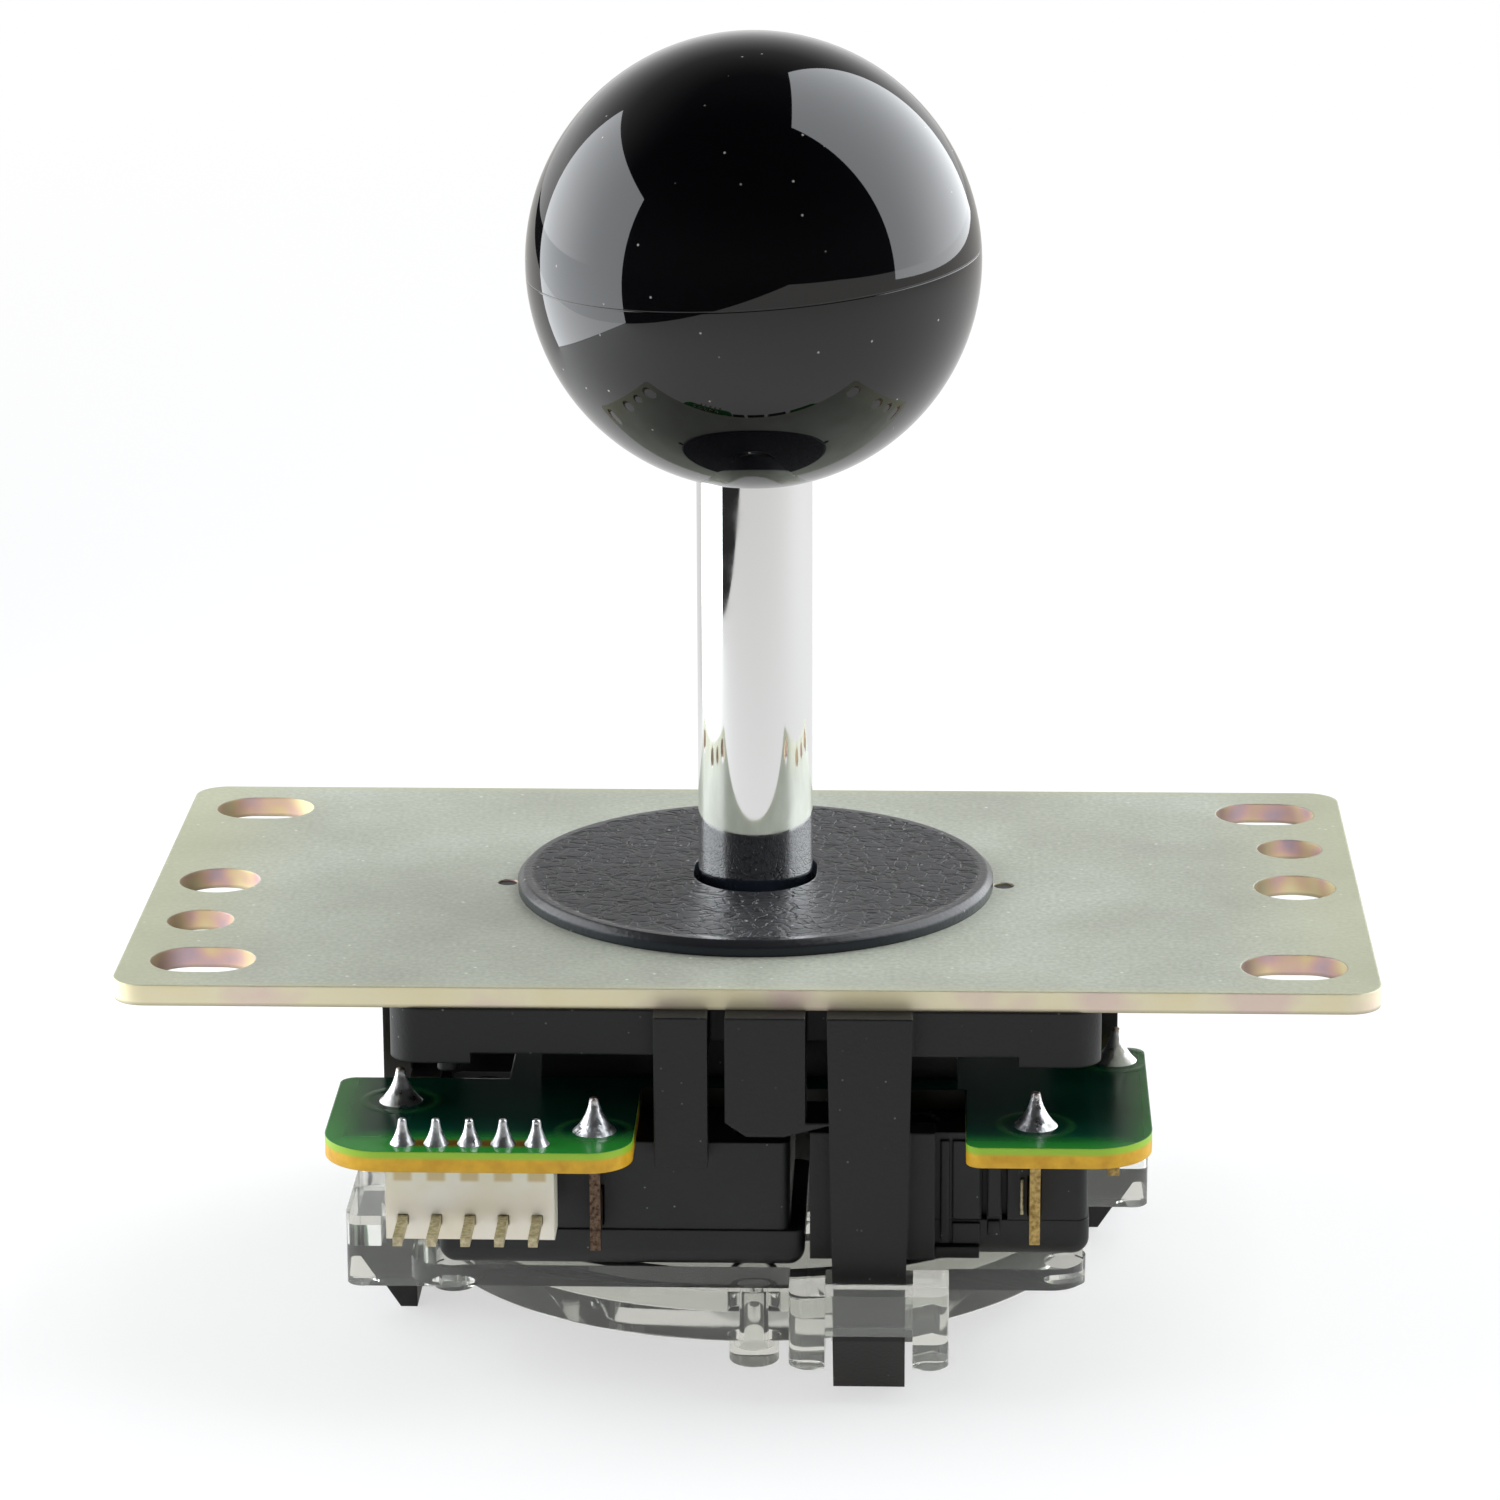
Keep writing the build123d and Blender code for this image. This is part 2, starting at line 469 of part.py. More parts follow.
# Leg, backing block, finger and tongue of the housing's front side
with BuildPart() as housing_side:
    with BuildSketch(Plane.XZ.offset(LEG_INNER_Y)):
        with BuildLine():
            Polyline(
                (LEG_X - LEG_WIDTH / 2, PLATE_BOTTOM_Z), (LEG_X + LEG_WIDTH / 2, PLATE_BOTTOM_Z),
                (LEG_X + LEG_TIP_WIDTH / 2, HOOK_TOP_Z), (LEG_X - LEG_TIP_WIDTH / 2, HOOK_TOP_Z), close=True,
            )
        make_face()
        with Locations((FINGER_X, PLATE_BOTTOM_Z)):
            Rectangle(FINGER_WIDTH, PLATE_BOTTOM_Z - FINGER_BOTTOM_Z, align=(Align.CENTER, Align.MAX))
    extrude(amount=LEG_OUTER_Y - LEG_INNER_Y)
    # Snap hook on the leg's outer face, sloping in to the leg's tip
    with BuildSketch(Plane.YZ.offset(LEG_X)):
        with BuildLine():
            Polyline(
                (-LEG_INNER_Y, HOOK_TOP_Z), (-LEG_OUTER_Y - HOOK_REACH, HOOK_TOP_Z),
                (-LEG_OUTER_Y - HOOK_REACH, HOOK_TOP_Z - HOOK_LAND),
                (-LEG_INNER_Y - LEG_TIP_THICKNESS, LEG_TIP_Z), (-LEG_INNER_Y, LEG_TIP_Z), close=True,
            )
        make_face()
    extrude(amount=LEG_TIP_WIDTH / 2, both=True)
    # Block behind the leg
    with BuildSketch(Plane.XZ.offset(LEG_INNER_Y)):
        with Locations((BACKING_X, BACKING_TOP_Z)):
            Rectangle(BACKING_WIDTH, BACKING_TOP_Z - BACKING_BOTTOM_Z, align=(Align.CENTER, Align.MAX))
    extrude(amount=-BACKING_DEPTH)
    # Tongue beside the leg, its foot running across to the leg
    with BuildSketch(Plane.XZ.offset(LEG_OUTER_Y)):
        with BuildLine():
            Polyline(
                (TONGUE_X - TONGUE_WIDTH / 2, PLATE_BOTTOM_Z),
                (TONGUE_X + TONGUE_WIDTH / 2, PLATE_BOTTOM_Z),
                (TONGUE_X + TONGUE_WIDTH / 2, TONGUE_BOTTOM_Z + TONGUE_STEP),
                (LEG_X - LEG_WIDTH / 2 + PAD_DROP, TONGUE_BOTTOM_Z + TONGUE_STEP),
                (TONGUE_X + TONGUE_WIDTH / 2 - TONGUE_CORNER, TONGUE_BOTTOM_Z),
                (TONGUE_X - TONGUE_WIDTH / 2 + TONGUE_CORNER, TONGUE_BOTTOM_Z),
                (TONGUE_X - TONGUE_WIDTH / 2, TONGUE_BOTTOM_Z + TONGUE_STEP), close=True,
            )
        make_face()
    extrude(amount=-TONGUE_DEPTH)

# Main housing: flange, core, socket, and a leg side every quarter turn
with BuildPart() as main_housing:
    with BuildSketch(Plane.XY.offset(PLATE_BOTTOM_Z)):
        RectangleRounded(2 * FLANGE_HALF, 2 * FLANGE_HALF, FLANGE_CORNER)
    extrude(amount=-FLANGE_THICKNESS)
    # Deeper pads at the flange's corners
    with BuildSketch(Plane.XY.offset(FLANGE_BOTTOM_Z)):
        RectangleRounded(2 * FLANGE_HALF, 2 * FLANGE_HALF, FLANGE_CORNER)
        Rectangle(2 * (FLANGE_HALF - PAD_SIZE), 2 * FLANGE_HALF, mode=Mode.SUBTRACT)
        Rectangle(2 * FLANGE_HALF, 2 * (FLANGE_HALF - PAD_SIZE), mode=Mode.SUBTRACT)
    extrude(amount=-PAD_DROP)
    # Hollow square core down to the board, with the socket's tube, screw bosses and ribs inside it
    with BuildSketch(Plane.XY.offset(FLANGE_BOTTOM_Z)):
        Rectangle(2 * CORE_HALF, 2 * CORE_HALF)
        Rectangle(2 * (CORE_HALF - CORE_WALL), 2 * (CORE_HALF - CORE_WALL), mode=Mode.SUBTRACT)
        Rectangle(2 * CORE_HALF, RIB_WIDTH)
        Rectangle(RIB_WIDTH, 2 * CORE_HALF)
        with Locations(*SCREW_PLACES):
            Circle(BOSS_R)
        Circle(COLLAR_R)
    extrude(amount=BOARD_TOP_Z - FLANGE_BOTTOM_Z)
    # Collar round the socket, down through the board's bore and up into the plate's bore
    with BuildSketch(Plane.XY.offset(SOCKET_BOTTOM_Z)):
        Circle(COLLAR_R)
    extrude(amount=-SLIDE_GAP - SOCKET_BOTTOM_Z)
    # Pegs in the plate's small holes
    with BuildSketch(Plane.XY.offset(PLATE_BOTTOM_Z)):
        with Locations((-PEG_X, 0), (PEG_X, 0)):
            Circle(PEG_R)
    extrude(amount=PLATE_THICKNESS - SLIDE_GAP)
    # Nub under the front left pad
    with BuildSketch(Plane.XY.offset(FLANGE_BOTTOM_Z - PAD_DROP)):
        with Locations((NUB_INSET_X - FLANGE_HALF, NUB_INSET_Y - FLANGE_HALF)):
            Circle(NUB_R)
    extrude(amount=-NUB_HEIGHT)
    for angle in QUARTERS:
        add(housing_side.part.rotate(Axis.Z, angle))
    # Slits that part the finger, tongue and leg from each other in the flange's edge
    with PolarLocations(0, 4, start_angle=-90):
        with Locations((LEG_OUTER_Y, (FINGER_X + FINGER_WIDTH / 2 + TONGUE_X - TONGUE_WIDTH / 2) / 2, 0)):
            Box(
                2 * (LEG_OUTER_Y - LEG_INNER_Y + SLIT_DEPTH),
                TONGUE_X - TONGUE_WIDTH / 2 - FINGER_X - FINGER_WIDTH / 2,
                -2 * (FLANGE_BOTTOM_Z), mode=Mode.SUBTRACT,
            )
        with Locations((LEG_OUTER_Y, (TONGUE_X + TONGUE_WIDTH / 2 + LEG_X - LEG_WIDTH / 2) / 2, 0)):
            Box(
                2 * (LEG_OUTER_Y - LEG_INNER_Y + SLIT_DEPTH),
                LEG_X - LEG_WIDTH / 2 - TONGUE_X - TONGUE_WIDTH / 2,
                -2 * (FLANGE_BOTTOM_Z), mode=Mode.SUBTRACT,
            )
    # Socket, open above, and the screws' bores
    with Locations((0, 0, PIVOT_Z)):
        Sphere(SOCKET_R, mode=Mode.SUBTRACT)
        Cylinder(SOCKET_R, -PIVOT_Z, align=(Align.CENTER, Align.CENTER, Align.MIN), mode=Mode.SUBTRACT)
    with Locations(*[(x, y, PLATE_BOTTOM_Z) for x, y in SCREW_PLACES]):
        Hole(SCREW_R + THREAD_GAP, depth=SCREW_LENGTH - PLATE_THICKNESS + SLIDE_GAP)
main_housing.part.label = "main_housing"
export_step(main_housing.part, "parts/main_housing.step")

# Spring seat: ring against the housing's underside, its lip round the spring's top coil
with BuildPart() as spring_seat:
    with BuildSketch(Plane.XY.offset(SEAT_TOP_Z)):
        Circle(SEAT_R)
        Circle(SEAT_BORE_R, mode=Mode.SUBTRACT)
    extrude(amount=-SEAT_THICKNESS)
    with BuildSketch(Plane.XY.offset(SEAT_BOTTOM_Z)):
        Circle(LIP_R + SEAT_LIP_WALL)
        Circle(LIP_R, mode=Mode.SUBTRACT)
    extrude(amount=-SEAT_LIP)
spring_seat.part.label = "spring_seat"
export_step(spring_seat.part, "parts/spring_seat.step")

# Centring spring, between the seat and the floor of the actuator's cup
with BuildPart() as centring_spring:
    with BuildLine():
        coil = Helix(
            pitch=SPRING_HEIGHT / SPRING_TURNS, height=SPRING_HEIGHT, radius=SPRING_MEAN_R,
            center=(0, 0, ACTUATOR_FLOOR_Z + SPRING_WIRE_R),
        )
    with BuildSketch(Plane(origin=coil @ 0, z_dir=coil % 0)):
        Circle(SPRING_WIRE_R)
    sweep(is_frenet=True)
centring_spring.part.label = "centring_spring"
export_step(centring_spring.part, "parts/centring_spring.step")

# Actuator: collar on the stem, with a cup for the spring and a neck inside the gate
with BuildPart() as actuator:
    with BuildSketch(Plane.XZ):
        with BuildLine():
            Polyline(
                (STEM_R + SLIDE_GAP, ACTUATOR_BOTTOM_Z), (ACTUATOR_NECK_R, ACTUATOR_BOTTOM_Z),
                (ACTUATOR_NECK_R, ACTUATOR_SHOULDER_Z), (ACTUATOR_R, ACTUATOR_SHOULDER_Z),
                (ACTUATOR_R, ACTUATOR_TOP_Z), (ACTUATOR_CUP_R, ACTUATOR_TOP_Z),
                (ACTUATOR_CUP_R, ACTUATOR_FLOOR_Z), (STEM_R + SLIDE_GAP, ACTUATOR_FLOOR_Z), close=True,
            )
        make_face()
    revolve(axis=Axis.Z)
    for level in (0, -1):
        chamfer(actuator.edges().group_by(Axis.Z)[level].sort_by(SortBy.LENGTH)[-1], ACTUATOR_CHAMFER)
actuator.part.label = "actuator"
export_step(actuator.part, "parts/actuator.step")

# Outline of a board wing at the front, its outer corner beside the open terminal well rounded
with BuildSketch() as plain_wing:
    with Locations((-WING_END, -WING_OUTER)):
        Rectangle(WING_END + WING_ROOT_X, WING_OUTER - WING_INNER, align=(Align.MIN, Align.MIN))
    fillet(plain_wing.vertices().group_by(Axis.X)[0].sort_by(Axis.Y)[0], WING_END_CORNER)
    fillet(
        plain_wing.vertices().group_by(Axis.X)[-1]
        + plain_wing.vertices().group_by(Axis.Y)[-1].sort_by(Axis.X)[:1],
        WING_CORNER,
    )

# Outline of the header's wing, which reaches further out and has both outer corners well rounded
with BuildSketch() as header_wing:
    with Locations((-WING_END, -HEADER_WING_OUTER)):
        Rectangle(WING_END + WING_ROOT_X, HEADER_WING_OUTER - WING_INNER, align=(Align.MIN, Align.MIN))
    fillet(header_wing.vertices().group_by(Axis.X)[0].sort_by(Axis.Y)[0], WING_END_CORNER)
    fillet(header_wing.vertices().group_by(Axis.X)[-1].sort_by(Axis.Y)[0], HEADER_WING_CORNER)
    fillet(header_wing.vertices().group_by(Axis.Y)[-1], WING_CORNER)

# Circuit board: four wings round a square core
with BuildPart() as circuit_board:
    with BuildSketch(Plane.XY.offset(BOARD_TOP_Z)):
        Rectangle(2 * BOARD_CORE_HALF, 2 * BOARD_CORE_HALF)
        add(header_wing.sketch)
        for angle in QUARTERS[1:]:
            add(plain_wing.sketch.rotate(Axis.Z, angle))
        Circle(COLLAR_R + FACE_GAP, mode=Mode.SUBTRACT)
        with PolarLocations(0, 4):
            with Locations((COMMON_X, -COMMON_Y)):
                Rectangle(TERMINAL_THICKNESS + SLIDE_GAP, PIN_DEPTH + SLIDE_GAP, mode=Mode.SUBTRACT)
            with Locations((OPEN_X, -OPEN_Y)):
                Rectangle(PIN_DEPTH + SLIDE_GAP, TERMINAL_THICKNESS + SLIDE_GAP, mode=Mode.SUBTRACT)
        with Locations(*[(x, -HEADER_PIN_Y) for x in PIN_PLACES]):
            Rectangle(HEADER_PIN + SLIDE_GAP, HEADER_PIN + SLIDE_GAP, mode=Mode.SUBTRACT)
    extrude(amount=-BOARD_THICKNESS)
circuit_board.part.label = "circuit_board"
export_step(circuit_board.part, "parts/circuit_board.step")

# Solder cone on a terminal, its side hollow and its tip rounded
with BuildPart() as terminal_solder:
    with BuildSketch(Plane.XZ):
        with BuildLine():
            Polyline(
                (SOLDER_TIP_R, SOLDER_HEIGHT), (0, SOLDER_HEIGHT), (0, 0), (SOLDER_R, 0)
            )
            ThreePointArc((SOLDER_R, 0), SOLDER_WAIST, (SOLDER_TIP_R, SOLDER_HEIGHT))
        make_face()
    revolve(axis=Axis.Z)
    fillet(terminal_solder.edges().group_by(Axis.Z)[-1], SOLDER_ROUND)

# Smaller solder cone on a header pin
with BuildPart() as pin_solder:
    with BuildSketch(Plane.XZ):
        with BuildLine():
            Polyline(
                (PIN_SOLDER_TIP_R, PIN_SOLDER_HEIGHT), (0, PIN_SOLDER_HEIGHT), (0, 0), (PIN_SOLDER_R, 0)
            )
            ThreePointArc((PIN_SOLDER_R, 0), PIN_SOLDER_WAIST, (PIN_SOLDER_TIP_R, PIN_SOLDER_HEIGHT))
        make_face()
    revolve(axis=Axis.Z)
    fillet(pin_solder.edges().group_by(Axis.Z)[-1], SOLDER_ROUND)

# Solder joints: a cone over each terminal and each header pin, which end inside them
with BuildPart() as solder_joints:
    for angle in QUARTERS:
        for x, y in ((COMMON_X, -COMMON_Y), (OPEN_X, -OPEN_Y)):
            add(terminal_solder.part.moved(Location((x, y, BOARD_TOP_Z))).rotate(Axis.Z, angle))
    for x in PIN_PLACES:
        add(pin_solder.part.moved(Location((x, -HEADER_PIN_Y, BOARD_TOP_Z))))
    with PolarLocations(0, 4):
        with Locations((COMMON_X, -COMMON_Y, BOARD_TOP_Z)):
            Box(
                TERMINAL_THICKNESS + SLIDE_GAP, PIN_DEPTH + SLIDE_GAP, 2 * (PIN_PROUD + SLIDE_GAP),
                mode=Mode.SUBTRACT,
            )
        with Locations((OPEN_X, -OPEN_Y, BOARD_TOP_Z)):
            Box(
                PIN_DEPTH + SLIDE_GAP, TERMINAL_THICKNESS + SLIDE_GAP, 2 * (PIN_PROUD + SLIDE_GAP),
                mode=Mode.SUBTRACT,
            )
    with Locations(*[(x, -HEADER_PIN_Y, BOARD_TOP_Z) for x in PIN_PLACES]):
        Box(
            HEADER_PIN + SLIDE_GAP, HEADER_PIN + SLIDE_GAP, 2 * (HEADER_PIN_PROUD + SLIDE_GAP),
            mode=Mode.SUBTRACT,
        )
solder_joints.part.label = "solder_joints"
export_step(solder_joints.part, "parts/solder_joints.step")

# Header pins: down through the board, then forward out of the header
with BuildPart() as header_pins:
    for x in PIN_PLACES:
        with BuildSketch(Plane.YZ.offset(x)):
            with Locations((-HEADER_PIN_Y, BOARD_TOP_Z + HEADER_PIN_PROUD)):
                Rectangle(
                    HEADER_PIN, BOARD_TOP_Z + HEADER_PIN_PROUD - HEADER_PIN_Z + HEADER_PIN / 2,
                    align=(Align.CENTER, Align.MAX),
                )
            with Locations((-HEADER_PIN_Y, HEADER_PIN_Z)):
                Rectangle(
                    HEADER_FRONT_Y + HEADER_PIN_REACH - HEADER_PIN_Y, HEADER_PIN,
                    align=(Align.MAX, Align.CENTER),
                )
        extrude(amount=HEADER_PIN / 2, both=True)
header_pins.part.label = "header_pins"
export_step(header_pins.part, "parts/header_pins.step")

# Header body: a plain block under the board's edge, bored for the pins
with BuildPart() as header_body:
    with BuildSketch(Plane.XY.offset(BOARD_BOTTOM_Z)):
        with Locations((HEADER_X, -HEADER_FRONT_Y + HEADER_DEPTH / 2)):
            Rectangle(HEADER_LENGTH, HEADER_DEPTH)
    extrude(amount=-HEADER_HEIGHT)
    for x in PIN_PLACES:
        with Locations((x, -HEADER_PIN_Y, BOARD_BOTTOM_Z)):
            Box(
                HEADER_PIN + SLIDE_GAP, HEADER_PIN + SLIDE_GAP,
                2 * (BOARD_BOTTOM_Z - HEADER_PIN_Z) + HEADER_PIN + SLIDE_GAP, mode=Mode.SUBTRACT,
            )
        with Locations((x, -HEADER_FRONT_Y, HEADER_PIN_Z)):
            Box(
                HEADER_PIN + SLIDE_GAP, 2 * (HEADER_FRONT_Y - HEADER_PIN_Y), HEADER_PIN + SLIDE_GAP,
                mode=Mode.SUBTRACT,
            )
header_body.part.label = "header_body"
export_step(header_body.part, "parts/header_body.step")

# Switch case: open below, with a guide slot for the plunger, two mounting tubes and a latch groove
with BuildPart() as switch_case:
    with BuildSketch(Plane.XY.offset(SWITCH_TOP_Z)):
        with Locations(CASE_PLACE):
            RectangleRounded(CASE_LENGTH, CASE_DEPTH, SWITCH_CORNER)
    extrude(amount=COVER_TOP_Z - SWITCH_TOP_Z)
    with BuildSketch(Plane.XY.offset(SWITCH_TOP_Z - SWITCH_WALL)):
        with Locations(CASE_PLACE):
            Rectangle(CASE_LENGTH - 2 * SWITCH_WALL, CASE_DEPTH - 2 * SWITCH_WALL)
        with Locations(*SWITCH_HOLES):
            Circle(SWITCH_HOLE_R + SWITCH_WALL, mode=Mode.SUBTRACT)
    extrude(amount=COVER_TOP_Z - SWITCH_TOP_Z + SWITCH_WALL, mode=Mode.SUBTRACT)
    with Locations(*[(x, y, SWITCH_TOP_Z) for x, y in SWITCH_HOLES]):
        Cylinder(SWITCH_HOLE_R, 2 * SWITCH_HEIGHT, mode=Mode.SUBTRACT)
    with Locations((0, -SWITCH_INNER_Y, PLUNGER_Z)):
        Box(
            PLUNGER_WIDTH + 2 * SLIDE_GAP, 2 * SWITCH_WALL + 2 * SLIDE_GAP, PLUNGER_HEIGHT + 2 * SLIDE_GAP,
            mode=Mode.SUBTRACT,
        )
    with Locations((COMMON_X, -CASE_OUTER_Y, TERMINAL_Z)):
        Box(
            TERMINAL_THICKNESS + 2 * SLIDE_GAP, 2 * SWITCH_WALL + 2 * SLIDE_GAP,
            TERMINAL_ROOT_HEIGHT + 2 * SLIDE_GAP, mode=Mode.SUBTRACT,
        )
    with Locations((SWITCH_END_X, -OPEN_Y, TERMINAL_Z)):
        Box(
            2 * SWITCH_WALL + 2 * SLIDE_GAP, TERMINAL_THICKNESS + 2 * SLIDE_GAP,
            TERMINAL_ROOT_HEIGHT + 2 * SLIDE_GAP, mode=Mode.SUBTRACT,
        )
    with Locations((SWITCH_END_X, -LATCH_Y, COVER_TOP_Z)):
        Box(
            2 * LATCH_DEPTH + 2 * SLIDE_GAP, LATCH_WIDTH + 2 * LATCH_GAP, 2 * (LATCH_RISE + LATCH_GAP),
            mode=Mode.SUBTRACT,
        )
for side, angle in SIDES.items():
    turned = switch_case.part.rotate(Axis.Z, angle)
    turned.label = f"switch_case_{side}"
    export_step(turned, f"parts/switch_case_{side}.step")

# Switch cover: shallow tray under the case and a little wider, with rounded lower edges and a latch
with BuildPart() as switch_cover:
    with BuildSketch(Plane.XY.offset(COVER_TOP_Z)):
        with Locations((SWITCH_X, -SWITCH_Y)):
            RectangleRounded(SWITCH_LENGTH, SWITCH_DEPTH, SWITCH_CORNER)
    extrude(amount=-COVER_HEIGHT)
    fillet(
        switch_cover.faces().sort_by(Axis.Z)[0].edges().filter_by(Axis.Y), COVER_ROUND
    )
    with BuildSketch(Plane.XY.offset(COVER_TOP_Z)):
        with Locations(CASE_PLACE):
            Rectangle(CASE_LENGTH - 2 * SWITCH_WALL, CASE_DEPTH - 2 * SWITCH_WALL)
        with Locations(*SWITCH_HOLES):
            Circle(SWITCH_HOLE_R + SWITCH_WALL, mode=Mode.SUBTRACT)
    extrude(amount=SWITCH_WALL - COVER_HEIGHT, mode=Mode.SUBTRACT)
    with Locations(*[(x, y, COVER_TOP_Z) for x, y in SWITCH_HOLES]):
        Cylinder(SWITCH_HOLE_R, 2 * SWITCH_HEIGHT, mode=Mode.SUBTRACT)
    with Locations((SWITCH_END_X, -LATCH_Y, COVER_TOP_Z - COVER_HEIGHT / 2)):
        Box(
            LATCH_DEPTH, LATCH_WIDTH, LATCH_RISE + COVER_HEIGHT / 2,
            align=(Align.MIN, Align.CENTER, Align.MIN),
        )
for side, angle in SIDES.items():
    turned = switch_cover.part.rotate(Axis.Z, angle)
    turned.label = f"switch_cover_{side}"
    export_step(turned, f"parts/switch_cover_{side}.step")

# Plunger: round-nosed pin with a shoulder inside the case
with BuildPart() as plunger:
    with BuildSketch(Plane.XZ.offset(PLUNGER_TIP_Y)):
        with Locations((0, PLUNGER_Z)):
            Rectangle(PLUNGER_WIDTH, PLUNGER_HEIGHT)
    extrude(amount=PLUNGER_LENGTH)
    fillet(plunger.faces().sort_by(Axis.Y)[-1].edges().filter_by(Axis.X), PLUNGER_TIP_R)
    with BuildSketch(Plane.XZ.offset(PLUNGER_TIP_Y + PLUNGER_LENGTH)):
        with Locations((0, PLUNGER_Z)):
            Rectangle(SHOULDER_WIDTH, PLUNGER_HEIGHT)
    extrude(amount=SHOULDER_DEPTH)
for side, angle in SIDES.items():
    turned = plunger.part.rotate(Axis.Z, angle)
    turned.label = f"plunger_{side}"
    export_step(turned, f"parts/plunger_{side}.step")

# Contact blade: leaf between the common terminal and the plunger's end of the case
with BuildPart() as contact_blade:
    with BuildSketch(Plane.XY.offset(TERMINAL_Z)):
        with Locations((COMMON_X - TERMINAL_THICKNESS, -BLADE_Y)):
            Rectangle(BLADE_LENGTH, BLADE_THICKNESS, align=(Align.MIN, Align.CENTER))
    extrude(amount=BLADE_WIDTH / 2, both=True)
for side, angle in SIDES.items():
    turned = contact_blade.part.rotate(Axis.Z, angle)
    turned.label = f"contact_blade_{side}"
    export_step(turned, f"parts/contact_blade_{side}.step")

# Terminals: a common blade through the outer face and an open-contact blade through the end
with BuildPart() as terminals:
    with BuildSketch(Plane.YZ.offset(COMMON_X)):
        with Locations((-COMMON_Y - PIN_DEPTH / 2, TERMINAL_Z)):
            Rectangle(
                COMMON_Y + PIN_DEPTH / 2 - BLADE_Y - BLADE_THICKNESS / 2, TERMINAL_ROOT_HEIGHT,
                align=(Align.MIN, Align.CENTER),
            )
        with Locations((-COMMON_Y, TERMINAL_BOTTOM_Z)):
            Rectangle(
                PIN_DEPTH, BOARD_TOP_Z + PIN_PROUD - TERMINAL_BOTTOM_Z, align=(Align.CENTER, Align.MIN)
            )
    extrude(amount=TERMINAL_THICKNESS / 2, both=True)
    with BuildSketch(Plane.XZ.offset(OPEN_Y)):
        with Locations((OPEN_X - PIN_DEPTH / 2, TERMINAL_Z)):
            Rectangle(OPEN_LENGTH, TERMINAL_ROOT_HEIGHT, align=(Align.MIN, Align.CENTER))
        with Locations((OPEN_X, TERMINAL_BOTTOM_Z)):
            Rectangle(
                PIN_DEPTH, BOARD_TOP_Z + PIN_PROUD - TERMINAL_BOTTOM_Z, align=(Align.CENTER, Align.MIN)
            )
    extrude(amount=TERMINAL_THICKNESS / 2, both=True)
for side, angle in SIDES.items():
    turned = terminals.part.rotate(Axis.Z, angle)
    turned.label = f"terminals_{side}"
    export_step(turned, f"parts/terminals_{side}.step")

# Loop of the gate frame round the housing's front leg
with BuildPart() as gate_loop:
    with BuildSketch(Plane.XY.offset(FRAME_TOP_Z)):
        with Locations((LEG_X, -LOOP_OUTER_Y)):
            Rectangle(LOOP_WIDTH, LOOP_OUTER_Y - FRAME_HALF + LOOP_CORNER, align=(Align.CENTER, Align.MIN))
    extrude(amount=-LOOP_HEIGHT)
    fillet(
        gate_loop.edges().filter_by(Axis.Z).group_by(Axis.Y)[0], LOOP_CORNER
    )
    with BuildSketch(Plane.XY.offset(FRAME_TOP_Z)):
        with Locations(*[(LEG_X + side * LUG_SPAN / 2, LUG_R - LOOP_OUTER_Y) for side in (-1, 1)]):
            Circle(LUG_R)
    extrude(amount=LUG_BOTTOM_Z - FRAME_TOP_Z)
    # Window for the leg, open to the front under the band
    with BuildSketch(Plane.XY.offset(FRAME_TOP_Z)):
        with Locations((LEG_X, BAND_THICKNESS - LOOP_OUTER_Y)):
            Rectangle(
                LEG_WIDTH + 2 * SLIDE_GAP, LOOP_OUTER_Y - BAND_THICKNESS - LEG_INNER_Y + FACE_GAP,
                align=(Align.CENTER, Align.MIN),
            )
    extrude(amount=-LOOP_HEIGHT, mode=Mode.SUBTRACT)
    with BuildSketch(Plane.XY.offset(FRAME_TOP_Z - BAND_HEIGHT)):
        with Locations((LEG_X, -LOOP_OUTER_Y)):
            Rectangle(
                LEG_WIDTH + 2 * SLIDE_GAP, LOOP_OUTER_Y - LEG_INNER_Y + FACE_GAP,
                align=(Align.CENTER, Align.MIN),
            )
    extrude(amount=-LOOP_HEIGHT, mode=Mode.SUBTRACT)
    with BuildSketch(Plane.XY.offset(FRAME_TOP_Z - FRAME_THICKNESS)):
        Circle(DISC_R + FACE_GAP)
    extrude(amount=-LOOP_HEIGHT, mode=Mode.SUBTRACT)

# Gate frame: clear plate under the switches, with loops, pegs for the switches and corner feet
with BuildPart() as gate_frame:
    with BuildSketch(Plane.XY.offset(FRAME_TOP_Z)):
        RectangleRounded(2 * FRAME_HALF, 2 * FRAME_HALF, FRAME_CORNER)
        Circle(FRAME_BORE_R, mode=Mode.SUBTRACT)
    extrude(amount=-FRAME_THICKNESS)
    for angle in QUARTERS:
        add(gate_loop.part.rotate(Axis.Z, angle))
    with PolarLocations(0, 4):
        with Locations(*[(x, y, FRAME_TOP_Z) for x, y in SWITCH_HOLES]):
            Cylinder(
                SWITCH_HOLE_R - SLIDE_GAP, POST_LENGTH, align=(Align.CENTER, Align.CENTER, Align.MIN)
            )
        with Locations((FOOT_X, -FOOT_Y, FRAME_TOP_Z)):
            Cylinder(FOOT_R, FOOT_LENGTH, align=(Align.CENTER, Align.CENTER, Align.MAX))
    # Openings for the legs
    with PolarLocations(0, 4):
        with Locations((LEG_X, -LEG_INNER_Y + FACE_GAP, FRAME_TOP_Z)):
            Box(
                LEG_WIDTH + 2 * SLIDE_GAP, LOOP_OUTER_Y - BAND_THICKNESS - LEG_INNER_Y + FACE_GAP,
                2 * FRAME_THICKNESS, align=(Align.CENTER, Align.MAX, Align.CENTER), mode=Mode.SUBTRACT,
            )
gate_frame.part.label = "gate_frame"
export_step(gate_frame.part, "parts/gate_frame.step")

